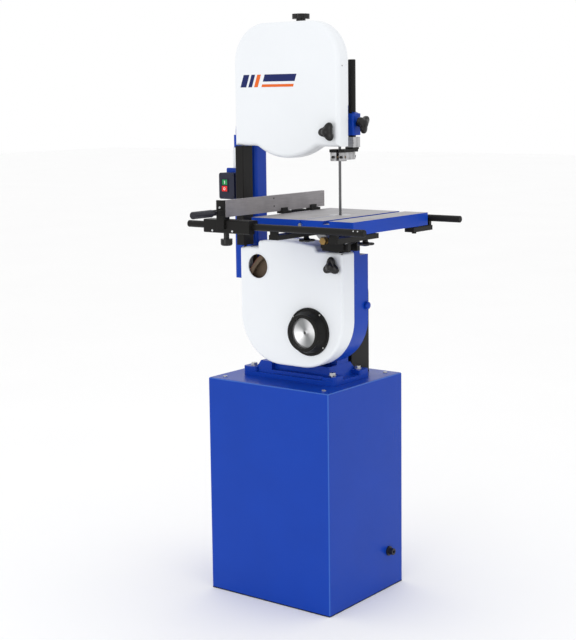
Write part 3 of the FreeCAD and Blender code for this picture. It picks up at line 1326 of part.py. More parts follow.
def make_front_arms():
    """Flat arms under the table, each with a saddle that holds the front rail from behind."""
    pieces = []
    for x in arm_xs:
        bar = box(x - arm_half, x + arm_half, arm_front_y, star_y + 44, arm_z1 - arm_t, arm_z1)
        post = box(x - arm_half + 4, x + arm_half - 4, arm_front_y, arm_front_y + 10, arm_z1 - 1,
                   rail_z + 6)
        tongue = box(x - arm_half + 4, x + arm_half - 4, front_rail_y + 4, arm_front_y + 1,
                     rail_z - 7, rail_z + 6)
        arm = join([bar, post, tongue]).cut(rod_x(front_rail_y, rail_z, rail_r, 0, 500))
        slot = box(x - 4.3, x + 4.3, star_y - 16, star_y + 16, arm_z1 - arm_t - 1, arm_z1 + 1)
        pieces.append(arm.cut(slot))
    return pieces


def make_rear_arms():
    """Flat arms under the table that carry the rear rail."""
    pieces = []
    for x in arm_xs:
        bar = box(x - arm_half, x + arm_half, -14, rear_rail_y + 6, arm_z1 - arm_t, arm_z1)
        post = box(x - arm_half + 4, x + arm_half - 4, rear_rail_y - 6, rear_rail_y + 6, arm_z1 - 1,
                   rail_z - 4)
        arm = join([bar, post]).cut(rod_x(rear_rail_y, rail_z, rail_r, 0, 500))
        pieces.append(arm.cut(rod_z(x, rear_bolt_y, 4.3, 1100, 1180)))
    return pieces


def make_rear_arm_bolts():
    return [bolt(V(x, rear_bolt_y, arm_z1 - arm_t), V(0, 0, -1), 13, 5.5, 4.0, arm_t + 20)
            for x in arm_xs]


def make_star_knob(x):
    """Star knob that locks a front arm under the table."""
    z = arm_z1 - arm_t - 0.4
    knob = aim(lobed_knob(5, 8.0, 18.0, 17.0, 11.0, 8.0, 9.0), V(x, star_y, z), V(0, 0, -1))
    stud = rod_z(x, star_y, 4.0, z - 5, table_under_z - 4)
    return join([knob, stud])


# ---- fence --------------------------------------------------------------------------------

fence_z0 = table_z + fence_lift
fence_x0 = fence_face_x - fence_t
carriage_x0 = fence_face_x - 82.0
carriage_x1 = fence_face_x + 84.0
carriage_y0 = -437.0
carriage_y1 = -397.0
carriage_z0 = 1164.0
carriage_z1 = 1202.0
fence_plate_x0 = fence_face_x - 27.0
lever_x = fence_face_x - 13.0
lever_z = 1223.0
lock_knob_x = fence_face_x - 16.0


def make_fence_bar():
    return box(fence_x0, fence_face_x, fence_y0, fence_y1, fence_z0, fence_z0 + fence_h)


pad_ys = (-165.0, -20.0)


def make_fence_pads():
    """Glide pads under the fence that run on the table."""
    pieces = []
    for y in pad_ys:
        foot = box(fence_x0, fence_face_x + 12, y - 22, y + 22, table_z + touch_gap, fence_z0)
        ear = box(fence_face_x, fence_face_x + 4, y - 14, y + 14, fence_z0 - 1, fence_z0 + 9)
        pieces.append(join([foot, ear]))
    return pieces


def make_fence_plate():
    """Upright bracket on the carriage: it holds the fence bar and the lock lever's fork."""
    plate = box(fence_plate_x0, fence_face_x - 1, carriage_y0 - 8, carriage_y0, carriage_z1 - 26,
                fence_z0 + fence_h)
    cheek = box(fence_plate_x0, fence_x0, carriage_y0 - 1, carriage_y0 + 46, fence_z0, fence_z0 + 36)
    foot = box(fence_plate_x0, fence_x0, carriage_y0 - 1, carriage_y0 + 30, carriage_z1, fence_z0 + 1)
    return group([join([plate, cheek, foot, make_lever_fork()])] + make_fence_pads())


def make_fence_carriage():
    """Casting that slides on the front rail, open at the back to pass the rail's saddles."""
    body = rounded_box(carriage_x0, carriage_x1, carriage_y0, carriage_y1, carriage_z0, carriage_z1,
                       4, V(1, 0, 0))
    bore = rod_x(front_rail_y, rail_z, rail_r + shaft_fit, carriage_x0 - 1, carriage_x1 + 1)
    screw = rod_z(lock_knob_x, front_rail_y, 4.0, carriage_z0 - 1, rail_z - rail_r + 2)
    saddle_way = box(carriage_x0 - 1, carriage_x1 + 1, front_rail_y + 3.5, carriage_y1 + 1,
                     carriage_z0 - 1, rail_z + 8)
    return cut_all(body, [bore, screw, saddle_way])


lever_pivot_y = carriage_y0 - 22.0


def make_lever_fork():
    """Fork on the fence plate that holds the lock lever's pin."""
    y0 = lever_pivot_y - 7
    ears = [box(lever_x - 11, lever_x - 6, y0, carriage_y0 - 8, lever_z - 8, lever_z + 8),
            box(lever_x + 6, lever_x + 11, y0, carriage_y0 - 8, lever_z - 8, lever_z + 8)]
    back = box(lever_x - 11, lever_x + 11, carriage_y0 - 12, carriage_y0 - 8, lever_z - 8, lever_z + 8)
    pin = rod_x(lever_pivot_y, lever_z, 3.0, lever_x - 11, lever_x + 11)
    return join(ears + [back, pin])


def make_fence_lever():
    """Lock lever: eye on the pin, neck and round grip pointing forward."""
    eye = rod_x(lever_pivot_y, lever_z, 6.0, lever_x - 5.6, lever_x + 5.6)
    neck = rod_y(lever_x, lever_z, 4.5, lever_pivot_y - 22, lever_pivot_y)
    grip = rod_y(lever_x, lever_z, 10.5, lever_pivot_y - 106, lever_pivot_y - 21)
    grip = grip.makeFillet(4.0, [e for e in grip.Edges if e.BoundBox.YLength < 0.01])
    return join([eye, neck, grip]).cut(rod_x(lever_pivot_y, lever_z, 3.0 + shaft_fit, 0, 100))


def make_fence_lock_knob():
    """Mushroom knob whose screw locks the carriage on the rail."""
    z = carriage_z0 - 0.4
    cap = rod_z(lock_knob_x, front_rail_y, 17, z - 37, z - 17)
    cap = cap.makeFillet(6.0, [e for e in cap.Edges if e.BoundBox.ZMax < z - 36])
    neck = rod_z(lock_knob_x, front_rail_y, 8, z - 18, z)
    screw = rod_z(lock_knob_x, front_rail_y, 4.0 - shaft_fit, z - 1, rail_z - rail_r - touch_gap)
    return join([cap, neck, screw])


# ---- switch -------------------------------------------------------------------------------

switch_x0 = -230.0
switch_x1 = -170.0
switch_y0 = -130.0
switch_z0 = 1233.0
switch_z1 = 1314.0
button_w = 21.0
button_h = 17.0
button_x = -207.0
start_z = 1285.0
stop_z = 1265.0
button_depth = 9.0
button_clear = 0.3


def make_switch_box():
    body = round_edges(box(switch_x0, switch_x1, switch_y0, column_y0 - 4, switch_z0, switch_z1), 7.0,
                       lambda e: runs_along(e, V(0, 1, 0)))
    frame = box(button_x - button_w / 2 - 3, button_x + button_w / 2 + 3, switch_y0 - 2, switch_y0 + 2,
                stop_z - button_h / 2 - 3, start_z + button_h / 2 + 3)
    body = join([body, frame])
    wells = [box(button_x - button_w / 2 - button_clear, button_x + button_w / 2 + button_clear,
                 switch_y0 - 3, switch_y0 + button_depth, z - button_h / 2 - button_clear,
                 z + button_h / 2 + button_clear) for z in (start_z, stop_z)]
    return cut_all(body, wells)


def make_button(z, proud):
    button = box(button_x - button_w / 2, button_x + button_w / 2, switch_y0 - proud,
                 switch_y0 + button_depth - 4.5, z - button_h / 2, z + button_h / 2)
    return round_edges(button, 1.2, lambda e: lies_at_y(e, switch_y0 - proud))


# ---- write the pieces ---------------------------------------------------------------------

def lower_door_hinges():
    """Fixed knuckles and pins of the lower door: one on the casting's edge, one on the column."""
    low, high = hinge_knuckles(lower_hinge_x, lower_hinge_y, lower_hinge_zs, lower_left_x - 1, 0, 5,
                               False)
    foot = box(lower_left_x - 6, lower_left_x, lower_split_y + 1, lower_split_y + 12,
               lower_hinge_zs[0] - knuckle_l, lower_hinge_zs[0])
    link = box(lower_left_x - 6, lower_left_x - 1, lower_hinge_y, lower_split_y + 2,
               lower_hinge_zs[0] - knuckle_l, lower_hinge_zs[0])
    return [join([low, link, foot]), high]


frame_fasteners = (make_foot_bolts() + make_motor_bolts() + [make_column_bolt(), make_zero_stop()]
                   + [make_lock_nut()] + make_cradle_bolts() + make_upper_guard_mounts()
                   + make_channel_screws() + make_belt_guard_screws() + make_top_screws()
                   + make_access_hinge_leaves() + lower_door_hinges())

pieces = {
    "cabinet": make_cabinet(),
    "access_door": make_access_door(),
    "access_latch": make_access_latch(),
    "cable_gland": make_cable_gland(),
    "frame_foot": make_frame_foot(),
    "frame_fasteners": group(frame_fasteners),
    "lower_frame": make_lower_frame(),
    "upper_frame": make_upper_frame(),
    "lower_wheel": make_wheel(lower_wheel_z, -144.0, -100.0, axle_r),
    "lower_tyre": make_tyre(lower_wheel_z),
    "lower_shaft": make_lower_shaft(),
    "shaft_bearings": make_bearings(lower_wheel_z, (-97.0, housing_y1 - 12.0), bearing_r,
                                    axle_r + shaft_fit, 12.0),
    "driven_pulley": make_pulley(lower_wheel_z, driven_pulley_r, axle_r),
    "motor": make_motor(),
    "motor_rotor": make_motor_rotor(),
    "motor_pulley": make_pulley(motor_z, motor_pulley_r, motor_shaft_r),
    "v_belt": make_v_belt(),
    "belt_guard": make_belt_guard(),
    "saw_blade": make_blade(),
    "upper_wheel": make_wheel(upper_wheel_z, -146.0, -108.0, bearing_r),
    "upper_tyre": make_tyre(upper_wheel_z),
    "wheel_bearings": make_bearings(upper_wheel_z, (-146.0, -120.0), bearing_r, axle_r + shaft_fit,
                                    12.0),
    "axle_bracket": make_axle_bracket(),
    "upper_axle": make_axle(),
    "tension_slide": group([make_tension_slide(), make_pivot_pin()]),
    "tension_knob": make_tension_knob(),
    "tension_spring": make_tension_spring(),
    "tracking_knob": make_tracking_knob(),
    "upper_rear_guard": make_upper_rear_guard(),
    "upper_door": make_upper_door(),
    "upper_door_knob": make_door_knob(upper_knob_x, upper_knob_z, upper_front_y, -117.0),
    "lower_door": make_lower_door(),
    "lower_door_knob": make_door_knob(lower_knob_x, lower_knob_z, lower_front_y, -80.0),
    "port_collar": make_port_collar(),
    "port_disc": make_port_disc(),
    "return_channel": make_return_channel(),
    "guide_post": make_guide_post(),
    "post_holder": make_post_holder(),
    "guide_bracket": make_guide_bracket(),
    "guide_blocks": group(make_guide_blocks() + make_guide_screws()),
    "guide_fingers": make_guide_fingers(),
    "clamp_knob": make_clamp_knob(),
    "trunnion_cradle": make_trunnion_cradle(),
    "lower_guides": make_lower_guides(),
    "trunnions": make_trunnions(),
    "trunnion_lock": make_trunnion_lock(),
    "table": make_table(),
    "table_insert": group([make_table_insert(), make_table_pin()]),
    "table_rails": group([make_rail(front_rail_y), make_rail(rear_rail_y)]),
    "rail_arms": group(make_front_arms() + make_rear_arms() + make_rear_arm_bolts()),
    "star_knob_left": make_star_knob(arm_xs[0]),
    "star_knob_right": make_star_knob(arm_xs[1]),
    "fence_bar": make_fence_bar(),
    "fence_plate": make_fence_plate(),
    "fence_carriage": make_fence_carriage(),
    "fence_lever": make_fence_lever(),
    "fence_lock_knob": make_fence_lock_knob(),
    "switch_box": make_switch_box(),
    "start_button": make_button(start_z, 1.0),
    "stop_button": make_button(stop_z, 2.5),
}

os.makedirs("parts", exist_ok=True)
for name, shape in pieces.items():
    save(name, shape)
print(len(pieces), "nodes")
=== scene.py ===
import math

import bmesh
import bpy
from mathutils import Matrix, Vector


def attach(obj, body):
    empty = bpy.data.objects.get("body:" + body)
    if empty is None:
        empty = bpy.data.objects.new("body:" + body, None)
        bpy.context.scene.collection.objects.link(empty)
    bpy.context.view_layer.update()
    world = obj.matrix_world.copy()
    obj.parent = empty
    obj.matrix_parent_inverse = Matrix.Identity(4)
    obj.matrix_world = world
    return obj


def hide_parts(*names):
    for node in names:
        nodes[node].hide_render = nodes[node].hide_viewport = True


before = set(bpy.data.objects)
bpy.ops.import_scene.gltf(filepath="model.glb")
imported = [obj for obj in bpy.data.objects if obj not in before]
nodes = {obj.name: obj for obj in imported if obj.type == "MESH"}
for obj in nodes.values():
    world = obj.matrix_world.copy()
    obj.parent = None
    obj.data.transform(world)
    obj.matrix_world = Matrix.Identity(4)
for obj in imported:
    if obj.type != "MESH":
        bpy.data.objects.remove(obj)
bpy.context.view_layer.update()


# ---- materials ----------------------------------------------------------------------------

class Graph:
    """Short names for the shader nodes that every material here is made of."""

    def __init__(self, name):
        self.material = bpy.data.materials.new(name)
        self.material.use_nodes = True
        self.tree = self.material.node_tree
        self.tree.nodes.clear()
        self.shader = self.add("ShaderNodeBsdfPrincipled")
        output = self.add("ShaderNodeOutputMaterial")
        self.link(self.shader.outputs[0], output.inputs["Surface"])
        self.coords = self.add("ShaderNodeTexCoord")

    def add(self, kind, **settings):
        node = self.tree.nodes.new(kind)
        for key, value in settings.items():
            setattr(node, key, value)
        return node

    def link(self, source, target):
        self.tree.links.new(source, target)

    def feed(self, target, value):
        if hasattr(value, "node"):
            self.link(value, target)
        else:
            target.default_value = value

    def stretched(self, scale):
        mapping = self.add("ShaderNodeMapping")
        mapping.inputs["Scale"].default_value = scale
        self.link(self.coords.outputs["Object"], mapping.inputs["Vector"])
        return mapping.outputs[0]

    def split(self, output):
        """X, Y and Z of the point or of the normal, in the object's own frame."""
        node = self.add("ShaderNodeSeparateXYZ")
        self.link(self.coords.outputs[output], node.inputs[0])
        return node.outputs

    def noise(self, scale, detail=3.0, stretch=(1.0, 1.0, 1.0), distortion=0.0):
        node = self.add("ShaderNodeTexNoise")
        node.inputs["Scale"].default_value = scale
        node.inputs["Detail"].default_value = detail
        node.inputs["Distortion"].default_value = distortion
        self.link(self.stretched(stretch), node.inputs["Vector"])
        return node.outputs["Fac"]

    def spread(self, value, low, high, to_low=0.0, to_high=1.0):
        node = self.add("ShaderNodeMapRange")
        self.link(value, node.inputs["Value"])
        for key, number in (("From Min", low), ("From Max", high), ("To Min", to_low),
                            ("To Max", to_high)):
            node.inputs[key].default_value = number
        return node.outputs["Result"]

    def math(self, operation, first, second=0.0):
        node = self.add("ShaderNodeMath", operation=operation)
        self.feed(node.inputs[0], first)
        self.feed(node.inputs[1], second)
        return node.outputs[0]

    def mix(self, factor, first, second):
        node = self.add("ShaderNodeMix", data_type="RGBA")
        self.feed(node.inputs[0], factor)
        self.feed(node.inputs[6], first)
        self.feed(node.inputs[7], second)
        return node.outputs[2]

    def edges(self, radius):
        """Rounded normal at sharp edges, and a mask that is 1 there."""
        bevel = self.add("ShaderNodeBevel", samples=4)
        bevel.inputs["Radius"].default_value = radius
        geometry = self.add("ShaderNodeNewGeometry")
        dot = self.add("ShaderNodeVectorMath", operation="DOT_PRODUCT")
        self.link(bevel.outputs[0], dot.inputs[0])
        self.link(geometry.outputs["Normal"], dot.inputs[1])
        return bevel.outputs[0], self.spread(dot.outputs["Value"], 0.98, 0.80)

    def bump(self, height, depth, normal=None):
        node = self.add("ShaderNodeBump")
        node.inputs["Strength"].default_value = 1.0
        node.inputs["Distance"].default_value = depth
        self.link(height, node.inputs["Height"])
        if normal is not None:
            self.link(normal, node.inputs["Normal"])
        return node.outputs[0]

    def finish(self, color, roughness, normal, metallic=0.0, coat=0.0, coat_roughness=0.1,
               specular=0.5):
        sockets = self.shader.inputs
        self.feed(sockets["Base Color"], color)
        self.feed(sockets["Roughness"], roughness)
        self.link(normal, sockets["Normal"])
        self.feed(sockets["Metallic"], metallic)
        sockets["Coat Weight"].default_value = coat
        sockets["Coat Roughness"].default_value = coat_roughness
        sockets["Specular IOR Level"].default_value = specular
        return self.material


def shade(color, factor):
    return tuple(channel * factor for channel in color) + (1.0,)


# Height below which enamel with an edge highlight gets a painted shadow along the floor.
FLOOR_SHADOW_Z = 0.0035


def edge_highlight_and_floor_shadow(graph, base, edge_highlight):
    """Painted highlight: a lighter colour over the rounded folded edges, where the normal turns
    from the axes; and a painted shadow: a dark line where the box meets the floor."""
    facing = graph.split("Normal")
    flattest = 0.0
    for axis in "XYZ":
        flattest = graph.math("MAXIMUM", graph.math("ABSOLUTE", facing[axis]), flattest)
    # Painted highlight: blend to the lighter edge colour as the normal turns from the axes.
    base = graph.mix(graph.spread(flattest, 0.985, 0.80), base, edge_highlight)
    # Painted shadow: near-black over the bottom few millimetres, where the box meets the floor.
    place = graph.split("Object")
    return graph.mix(graph.math("LESS_THAN", place["Z"], FLOOR_SHADOW_Z), base,
                     (0.004, 0.006, 0.022, 1.0))


def enamel(name, color, roughness=0.32, coat=0.1, wear=0.35, edge=0.0012, wear_color=None,
           specular=0.12, mottle=0.06, edge_highlight=None):
    """Sprayed enamel: slight orange peel, dust-soft roughness and rubbed edges."""
    graph = Graph(name)
    clouds = graph.noise(7.0, 4.0)
    base = graph.mix(graph.spread(clouds, 0.3, 0.7), shade(color, 1.0 - mottle),
                     shade(color, 1.0 + mottle))
    normal, at_edge = graph.edges(edge)
    chips = graph.spread(graph.noise(260.0, 4.0), 0.52, 0.62)
    rubbed = graph.math("MULTIPLY", graph.math("MULTIPLY", at_edge, chips), wear)
    worn = wear_color or shade(color, 1.9)
    base = graph.mix(rubbed, base, worn)
    # Optional painted highlight on rounded edges, plus a painted shadow along the floor line.
    if edge_highlight:
        base = edge_highlight_and_floor_shadow(graph, base, edge_highlight)
    peel = graph.noise(420.0, 2.0)
    smears = graph.noise(9.0, 2.0, (1.0, 1.0, 0.4))
    rough = graph.spread(smears, 0.1, 0.9, roughness * 0.75, roughness * 1.3)
    return graph.finish(base, rough, graph.bump(peel, 0.00012, normal), coat=coat,
                        coat_roughness=0.14, specular=specular)


def metal(name, color, roughness=0.3, stretch=(1.0, 1.0, 1.0), scale=500.0, stain=0.12,
          edge=0.0006, depth=0.00006):
    """Bare metal with tool marks along one direction and faint stains."""
    graph = Graph(name)
    marks = graph.noise(scale, 3.0, stretch)
    stains = graph.noise(22.0, 5.0)
    normal, at_edge = graph.edges(edge)
    base = graph.mix(graph.spread(stains, 0.35, 0.75), shade(color, 1.04),
                     shade(color, 1.0 - stain))
    base = graph.mix(graph.math("MULTIPLY", at_edge, 0.5), base, shade(color, 1.2))
    rough = graph.math("ADD", graph.spread(marks, 0.2, 0.8, roughness * 0.7, roughness * 1.3),
                       graph.spread(stains, 0.4, 0.8, 0.0, 0.08))
    return graph.finish(base, rough, graph.bump(marks, depth, normal), metallic=1.0)


def casting(name, color, roughness=0.62, metallic=0.35):
    """Unpainted casting with a sandy skin and a brown oil film."""
    graph = Graph(name)
    grit = graph.noise(300.0, 5.0)
    film = graph.noise(18.0, 5.0, distortion=0.6)
    normal, at_edge = graph.edges(0.001)
    base = graph.mix(graph.spread(film, 0.3, 0.7), shade(color, 0.75), shade(color, 1.2))
    base = graph.mix(graph.math("MULTIPLY", at_edge, 0.4), base, shade(color, 1.9))
    rough = graph.spread(film, 0.3, 0.7, roughness * 0.8, roughness * 1.15)
    return graph.finish(base, rough, graph.bump(grit, 0.0004, normal), metallic=metallic)


def plastic(name, color, roughness=0.35, grain=700.0, depth=0.00008, dust=0.25, edge=0.001):
    """Moulded plastic: fine grain, dust in the hollows and shinier handled spots."""
    graph = Graph(name)
    fine = graph.noise(grain, 2.0)
    touched = graph.noise(30.0, 4.0)
    normal, at_edge = graph.edges(edge)
    base = graph.mix(graph.spread(touched, 0.3, 0.75), shade(color, 1.0), shade(color, 1.0 + dust))
    base = graph.mix(graph.math("MULTIPLY", at_edge, 0.35), base, shade(color, 2.2))
    rough = graph.spread(touched, 0.3, 0.7, roughness * 0.75, roughness * 1.3)
    return graph.finish(base, rough, graph.bump(fine, depth, normal), specular=0.3)


def rubber(name, color, roughness=0.7):
    """Rubber with a fine weave running round it and a chalky bloom."""
    graph = Graph(name)
    weave = graph.noise(900.0, 2.0, (1.0, 0.3, 1.0))
    chalk = graph.noise(40.0, 4.0)
    normal, at_edge = graph.edges(0.0008)
    base = graph.mix(graph.spread(chalk, 0.35, 0.75), shade(color, 0.85), shade(color, 1.6))
    base = graph.mix(graph.math("MULTIPLY", at_edge, 0.4), base, shade(color, 2.4))
    rough = graph.spread(chalk, 0.3, 0.7, roughness * 0.85, roughness * 1.1)
    return graph.finish(base, rough, graph.bump(weave, 0.0002, normal), specular=0.25)


BLUE = (0.0035, 0.047, 0.385)
WHITE = (0.815, 0.84, 0.868)
BLACK = (0.010, 0.0095, 0.009)
GROUND = (0.45, 0.44, 0.45)

MACHINED_FROM_Z = 1.1917


def table_material():
    """Blue enamel below and round the rim, ground iron on every upward machined face."""
    graph = Graph("table_paint_and_ground_iron")
    clouds = graph.noise(7.0, 4.0)
    paint = graph.mix(graph.spread(clouds, 0.3, 0.7), shade(BLUE, 0.93), shade(BLUE, 1.06))
    lines = graph.noise(260.0, 4.0, (1.0, 0.02, 1.0))
    passes = graph.noise(26.0, 2.0, (1.0, 0.02, 1.0))
    stains = graph.noise(11.0, 6.0, distortion=0.8)
    iron = graph.mix(graph.spread(lines, 0.3, 0.7), shade(GROUND, 0.84), shade(GROUND, 1.12))
    iron = graph.mix(graph.spread(passes, 0.35, 0.65, 0.0, 0.35), iron, shade(GROUND, 0.8))
    brown = (0.26, 0.21, 0.17, 1.0)
    iron = graph.mix(graph.spread(stains, 0.52, 0.78, 0.0, 0.35), iron, brown)
    place = graph.split("Object")
    facing = graph.split("Normal")
    high = graph.math("GREATER_THAN", place["Z"], MACHINED_FROM_Z)
    upward = graph.math("GREATER_THAN", facing["Z"], 0.5)
    machined = graph.math("MULTIPLY", high, upward)
    normal, at_edge = graph.edges(0.0012)
    paint = graph.mix(graph.math("MULTIPLY", at_edge, 0.35), paint, shade(BLUE, 1.9))
    color = graph.mix(machined, paint, iron)
    rough = graph.math("ADD", graph.spread(stains, 0.3, 0.7, 0.32, 0.42),
                       graph.math("MULTIPLY", machined, 0.22))
    height = graph.math("MULTIPLY", lines, graph.math("ADD", graph.math("MULTIPLY", machined, 0.7),
                                                       0.15))
    return graph.finish(color, rough, graph.bump(height, 0.00008, normal),
                        metallic=graph.math("MULTIPLY", machined, 0.6), specular=0.15)


SCREW_FRONT_Y = -0.1471


def guide_material():
    """Milled alloy blocks; the clamp screws standing proud of them are black."""
    graph = Graph("milled_guide_alloy")
    marks = graph.noise(420.0, 3.0, (0.25, 1.0, 1.0))
    stains = graph.noise(60.0, 4.0)
    alloy = graph.mix(graph.spread(stains, 0.35, 0.7), (0.50, 0.50, 0.51, 1.0),
                      (0.24, 0.235, 0.23, 1.0))
    place = graph.split("Object")
    proud = graph.math("LESS_THAN", place["Y"], SCREW_FRONT_Y)
    normal, at_edge = graph.edges(0.0006)
    alloy = graph.mix(graph.math("MULTIPLY", at_edge, 0.5), alloy, (0.62, 0.62, 0.63, 1.0))
    color = graph.mix(proud, alloy, (0.018, 0.017, 0.017, 1.0))
    rough = graph.spread(marks, 0.2, 0.8, 0.3, 0.5)
    return graph.finish(color, rough, graph.bump(marks, 0.00006, normal),
                        metallic=graph.spread(proud, 0.0, 1.0, 1.0, 0.3), specular=0.3)


DISC_CENTRE = (0.131, 0.850)


def disc_material():
    """Face-turned alloy: fine rings, and a painted reflection: light and dark sectors round the
    centre.
    """
    graph = Graph("turned_disc")
    place = graph.split("Object")
    across = graph.math("SUBTRACT", place["X"], DISC_CENTRE[0])
    above = graph.math("SUBTRACT", place["Z"], DISC_CENTRE[1])
    radius = graph.math("SQRT", graph.math("ADD", graph.math("MULTIPLY", across, across),
                                           graph.math("MULTIPLY", above, above)))
    turn = graph.math("ARCTAN2", above, across)
    painted_reflection_fan = graph.math("SINE", graph.math("MULTIPLY", graph.math("ADD", turn, 0.35), 2.0))
    rings = graph.math("SINE", graph.math("MULTIPLY", radius, 7000.0))
    stains = graph.noise(40.0, 4.0)
    # Painted reflection: lighter and darker sectors by angle, standing for the turned face's
    # highlights.
    base = graph.mix(graph.spread(painted_reflection_fan, -0.9, 0.9), (0.26, 0.265, 0.27, 1.0),
                     (0.88, 0.88, 0.89, 1.0))
    base = graph.mix(graph.spread(stains, 0.5, 0.75, 0.0, 0.3), base, (0.34, 0.34, 0.33, 1.0))
    base = graph.mix(graph.spread(radius, 0.0052, 0.0038), base, (0.05, 0.05, 0.05, 1.0))
    normal, at_edge = graph.edges(0.0006)
    base = graph.mix(graph.math("MULTIPLY", at_edge, 0.4), base, (0.9, 0.9, 0.9, 1.0))
    rough = graph.spread(stains, 0.3, 0.7, 0.28, 0.42)
    return graph.finish(base, rough, graph.bump(rings, 0.00001, normal), metallic=1.0)


HOUSING_LOW = (-0.128, -0.120, 0.741)
HOUSING_HIGH = (0.249, -0.0195, 1.089)


def housing_material():
    """Blue enamel outside; the wall behind the wheel is brown primer darkened as painted shade."""
    graph = Graph("blue_housing_enamel")
    clouds = graph.noise(7.0, 4.0)
    paint = graph.mix(graph.spread(clouds, 0.3, 0.7), shade(BLUE, 0.94), shade(BLUE, 1.06))
    dust = graph.noise(35.0, 5.0)
    # Painted shade: the inner wall facing the door is a brown primer colour, darkened for the
    # shade in the housing.
    primer_and_painted_shade = graph.mix(graph.spread(dust, 0.3, 0.7), (0.050, 0.028, 0.015, 1.0),
                       (0.085, 0.052, 0.030, 1.0))
    place = graph.split("Object")
    facing = graph.split("Normal")
    inside = graph.math("LESS_THAN", facing["Y"], -0.5)
    for axis, low, high in zip("XYZ", HOUSING_LOW, HOUSING_HIGH):
        inside = graph.math("MULTIPLY", inside,
                            graph.math("GREATER_THAN", place[axis], low))
        inside = graph.math("MULTIPLY", inside,
                            graph.math("LESS_THAN", place[axis], high))
    normal, at_edge = graph.edges(0.0012)
    paint = graph.mix(graph.math("MULTIPLY", at_edge, 0.25), paint, shade(BLUE, 1.9))
    color = graph.mix(inside, paint, primer_and_painted_shade)
    smears = graph.noise(16.0, 5.0, (1.0, 1.0, 0.4))
    rough = graph.math("ADD", graph.spread(smears, 0.3, 0.7, 0.26, 0.4),
                       graph.math("MULTIPLY", inside, 0.3))
    return graph.finish(color, rough, graph.bump(graph.noise(420.0, 2.0), 0.00012, normal),
                        coat=0.1, coat_roughness=0.14, specular=0.12)


MATERIALS = {
    "blue": enamel("blue_enamel", BLUE),
    # The cabinet's lighter edge colour is a painted highlight on its rounded edges.
    "cabinet": enamel("cabinet_enamel", BLUE, mottle=0.035, edge_highlight=(0.05, 0.145, 0.52, 1.0)),
    "white": enamel("white_enamel", WHITE, 0.36, 0.15, 0.3, wear_color=(0.62, 0.63, 0.64, 1.0),
                    specular=0.25, mottle=0.008),
    "black": enamel("black_enamel", BLACK, 0.42, 0.05, 0.5, wear_color=(0.12, 0.115, 0.11, 1.0)),
    "motor": enamel("motor_enamel", (0.05, 0.055, 0.06), 0.45, 0.05),
    "table": table_material(),
    "wheel": casting("wheel_casting", (0.105, 0.072, 0.045)),
    "inner_casting": casting("slide_casting", (0.16, 0.15, 0.14)),
    "bright": metal("bright_steel", (0.62, 0.63, 0.64), 0.26),
    "zinc": metal("zinc_steel", (0.62, 0.62, 0.60), 0.36, stain=0.25),
    "blade": metal("blade_steel", (0.13, 0.13, 0.135), 0.34, (1.0, 1.0, 0.05), 700.0),
    "alloy": metal("machined_alloy", (0.50, 0.50, 0.51), 0.38, (0.25, 1.0, 1.0), 420.0),
    "disc": disc_material(),
    "housing": housing_material(),
    "guide_alloy": guide_material(),
    "dull_alloy": metal("trunnion_alloy", (0.36, 0.36, 0.36), 0.45, stain=0.35),
    "fence": metal("fence_alloy", (0.33, 0.315, 0.325), 0.55, (1.0, 0.03, 1.0), 520.0, 0.08),
    "brass": metal("turned_brass", (0.42, 0.27, 0.10), 0.36, stain=0.45),
    "bronze": metal("sintered_bronze", (0.30, 0.20, 0.11), 0.5, stain=0.4),
    "tyre": rubber("tyre_rubber", (0.10, 0.045, 0.030)),
    "belt": rubber("belt_rubber", (0.022, 0.022, 0.023), 0.8),
    "knob": plastic("knob_plastic", (0.009, 0.0085, 0.0085), 0.22),
    "grip": plastic("grip_plastic", (0.014, 0.014, 0.020), 0.34, 500.0, 0.00015),
    "switch": plastic("switch_plastic", (0.012, 0.014, 0.032), 0.40, 500.0, 0.00015),
    "green": plastic("green_button", (0.012, 0.26, 0.075), 0.28),
    "red": plastic("red_button", (0.72, 0.028, 0.022), 0.28),
    "mark": plastic("button_mark", (0.85, 0.83, 0.80), 0.4),
    "navy": enamel("navy_print", (0.012, 0.020, 0.115), 0.4, 0.1, 0.1),
    "orange": enamel("orange_print", (0.78, 0.14, 0.02), 0.4, 0.1, 0.1),
}

FINISHES = {
    "blue": ("frame_foot", "upper_frame"),
    "cabinet": ("cabinet", "access_door"),
    "housing": ("lower_frame",),
    "white": ("upper_door", "upper_rear_guard", "lower_door"),
    "black": ("belt_guard", "return_channel", "guide_post", "guide_bracket", "trunnion_cradle",
              "table_rails", "rail_arms", "fence_plate", "fence_carriage", "lower_guides",
              "port_collar"),
    "motor": ("motor",),
    "table": ("table",),
    "wheel": ("lower_wheel", "upper_wheel"),
    "inner_casting": ("axle_bracket", "tension_slide"),
    "bright": ("lower_shaft", "upper_axle", "shaft_bearings", "wheel_bearings", "motor_rotor"),
    "zinc": ("frame_fasteners", "access_latch", "tension_spring"),
    "blade": ("saw_blade",),
    "alloy": ("table_insert", "post_holder", "driven_pulley", "motor_pulley"),
    "guide_alloy": ("guide_blocks",),
    "disc": ("port_disc",),
    "dull_alloy": ("trunnions",),
    "fence": ("fence_bar",),
    "brass": ("trunnion_lock",),
    "bronze": ("guide_fingers",),
    "tyre": ("lower_tyre", "upper_tyre"),
    "belt": ("v_belt",),
    "knob": ("tension_knob", "tracking_knob", "upper_door_knob", "lower_door_knob", "clamp_knob",
             "star_knob_left", "star_knob_right", "fence_lock_knob"),
    "grip": ("fence_lever", "cable_gland"),
    "switch": ("switch_box",),
    "green": ("start_button",),
    "red": ("stop_button",),
}

for finish, names in FINISHES.items():
    for name in names:
        mesh = nodes[name].data
        mesh.materials.clear()
        mesh.materials.append(MATERIALS[finish])


# ---- detail pieces ------------------------------------------------------------------------

MM = 0.001


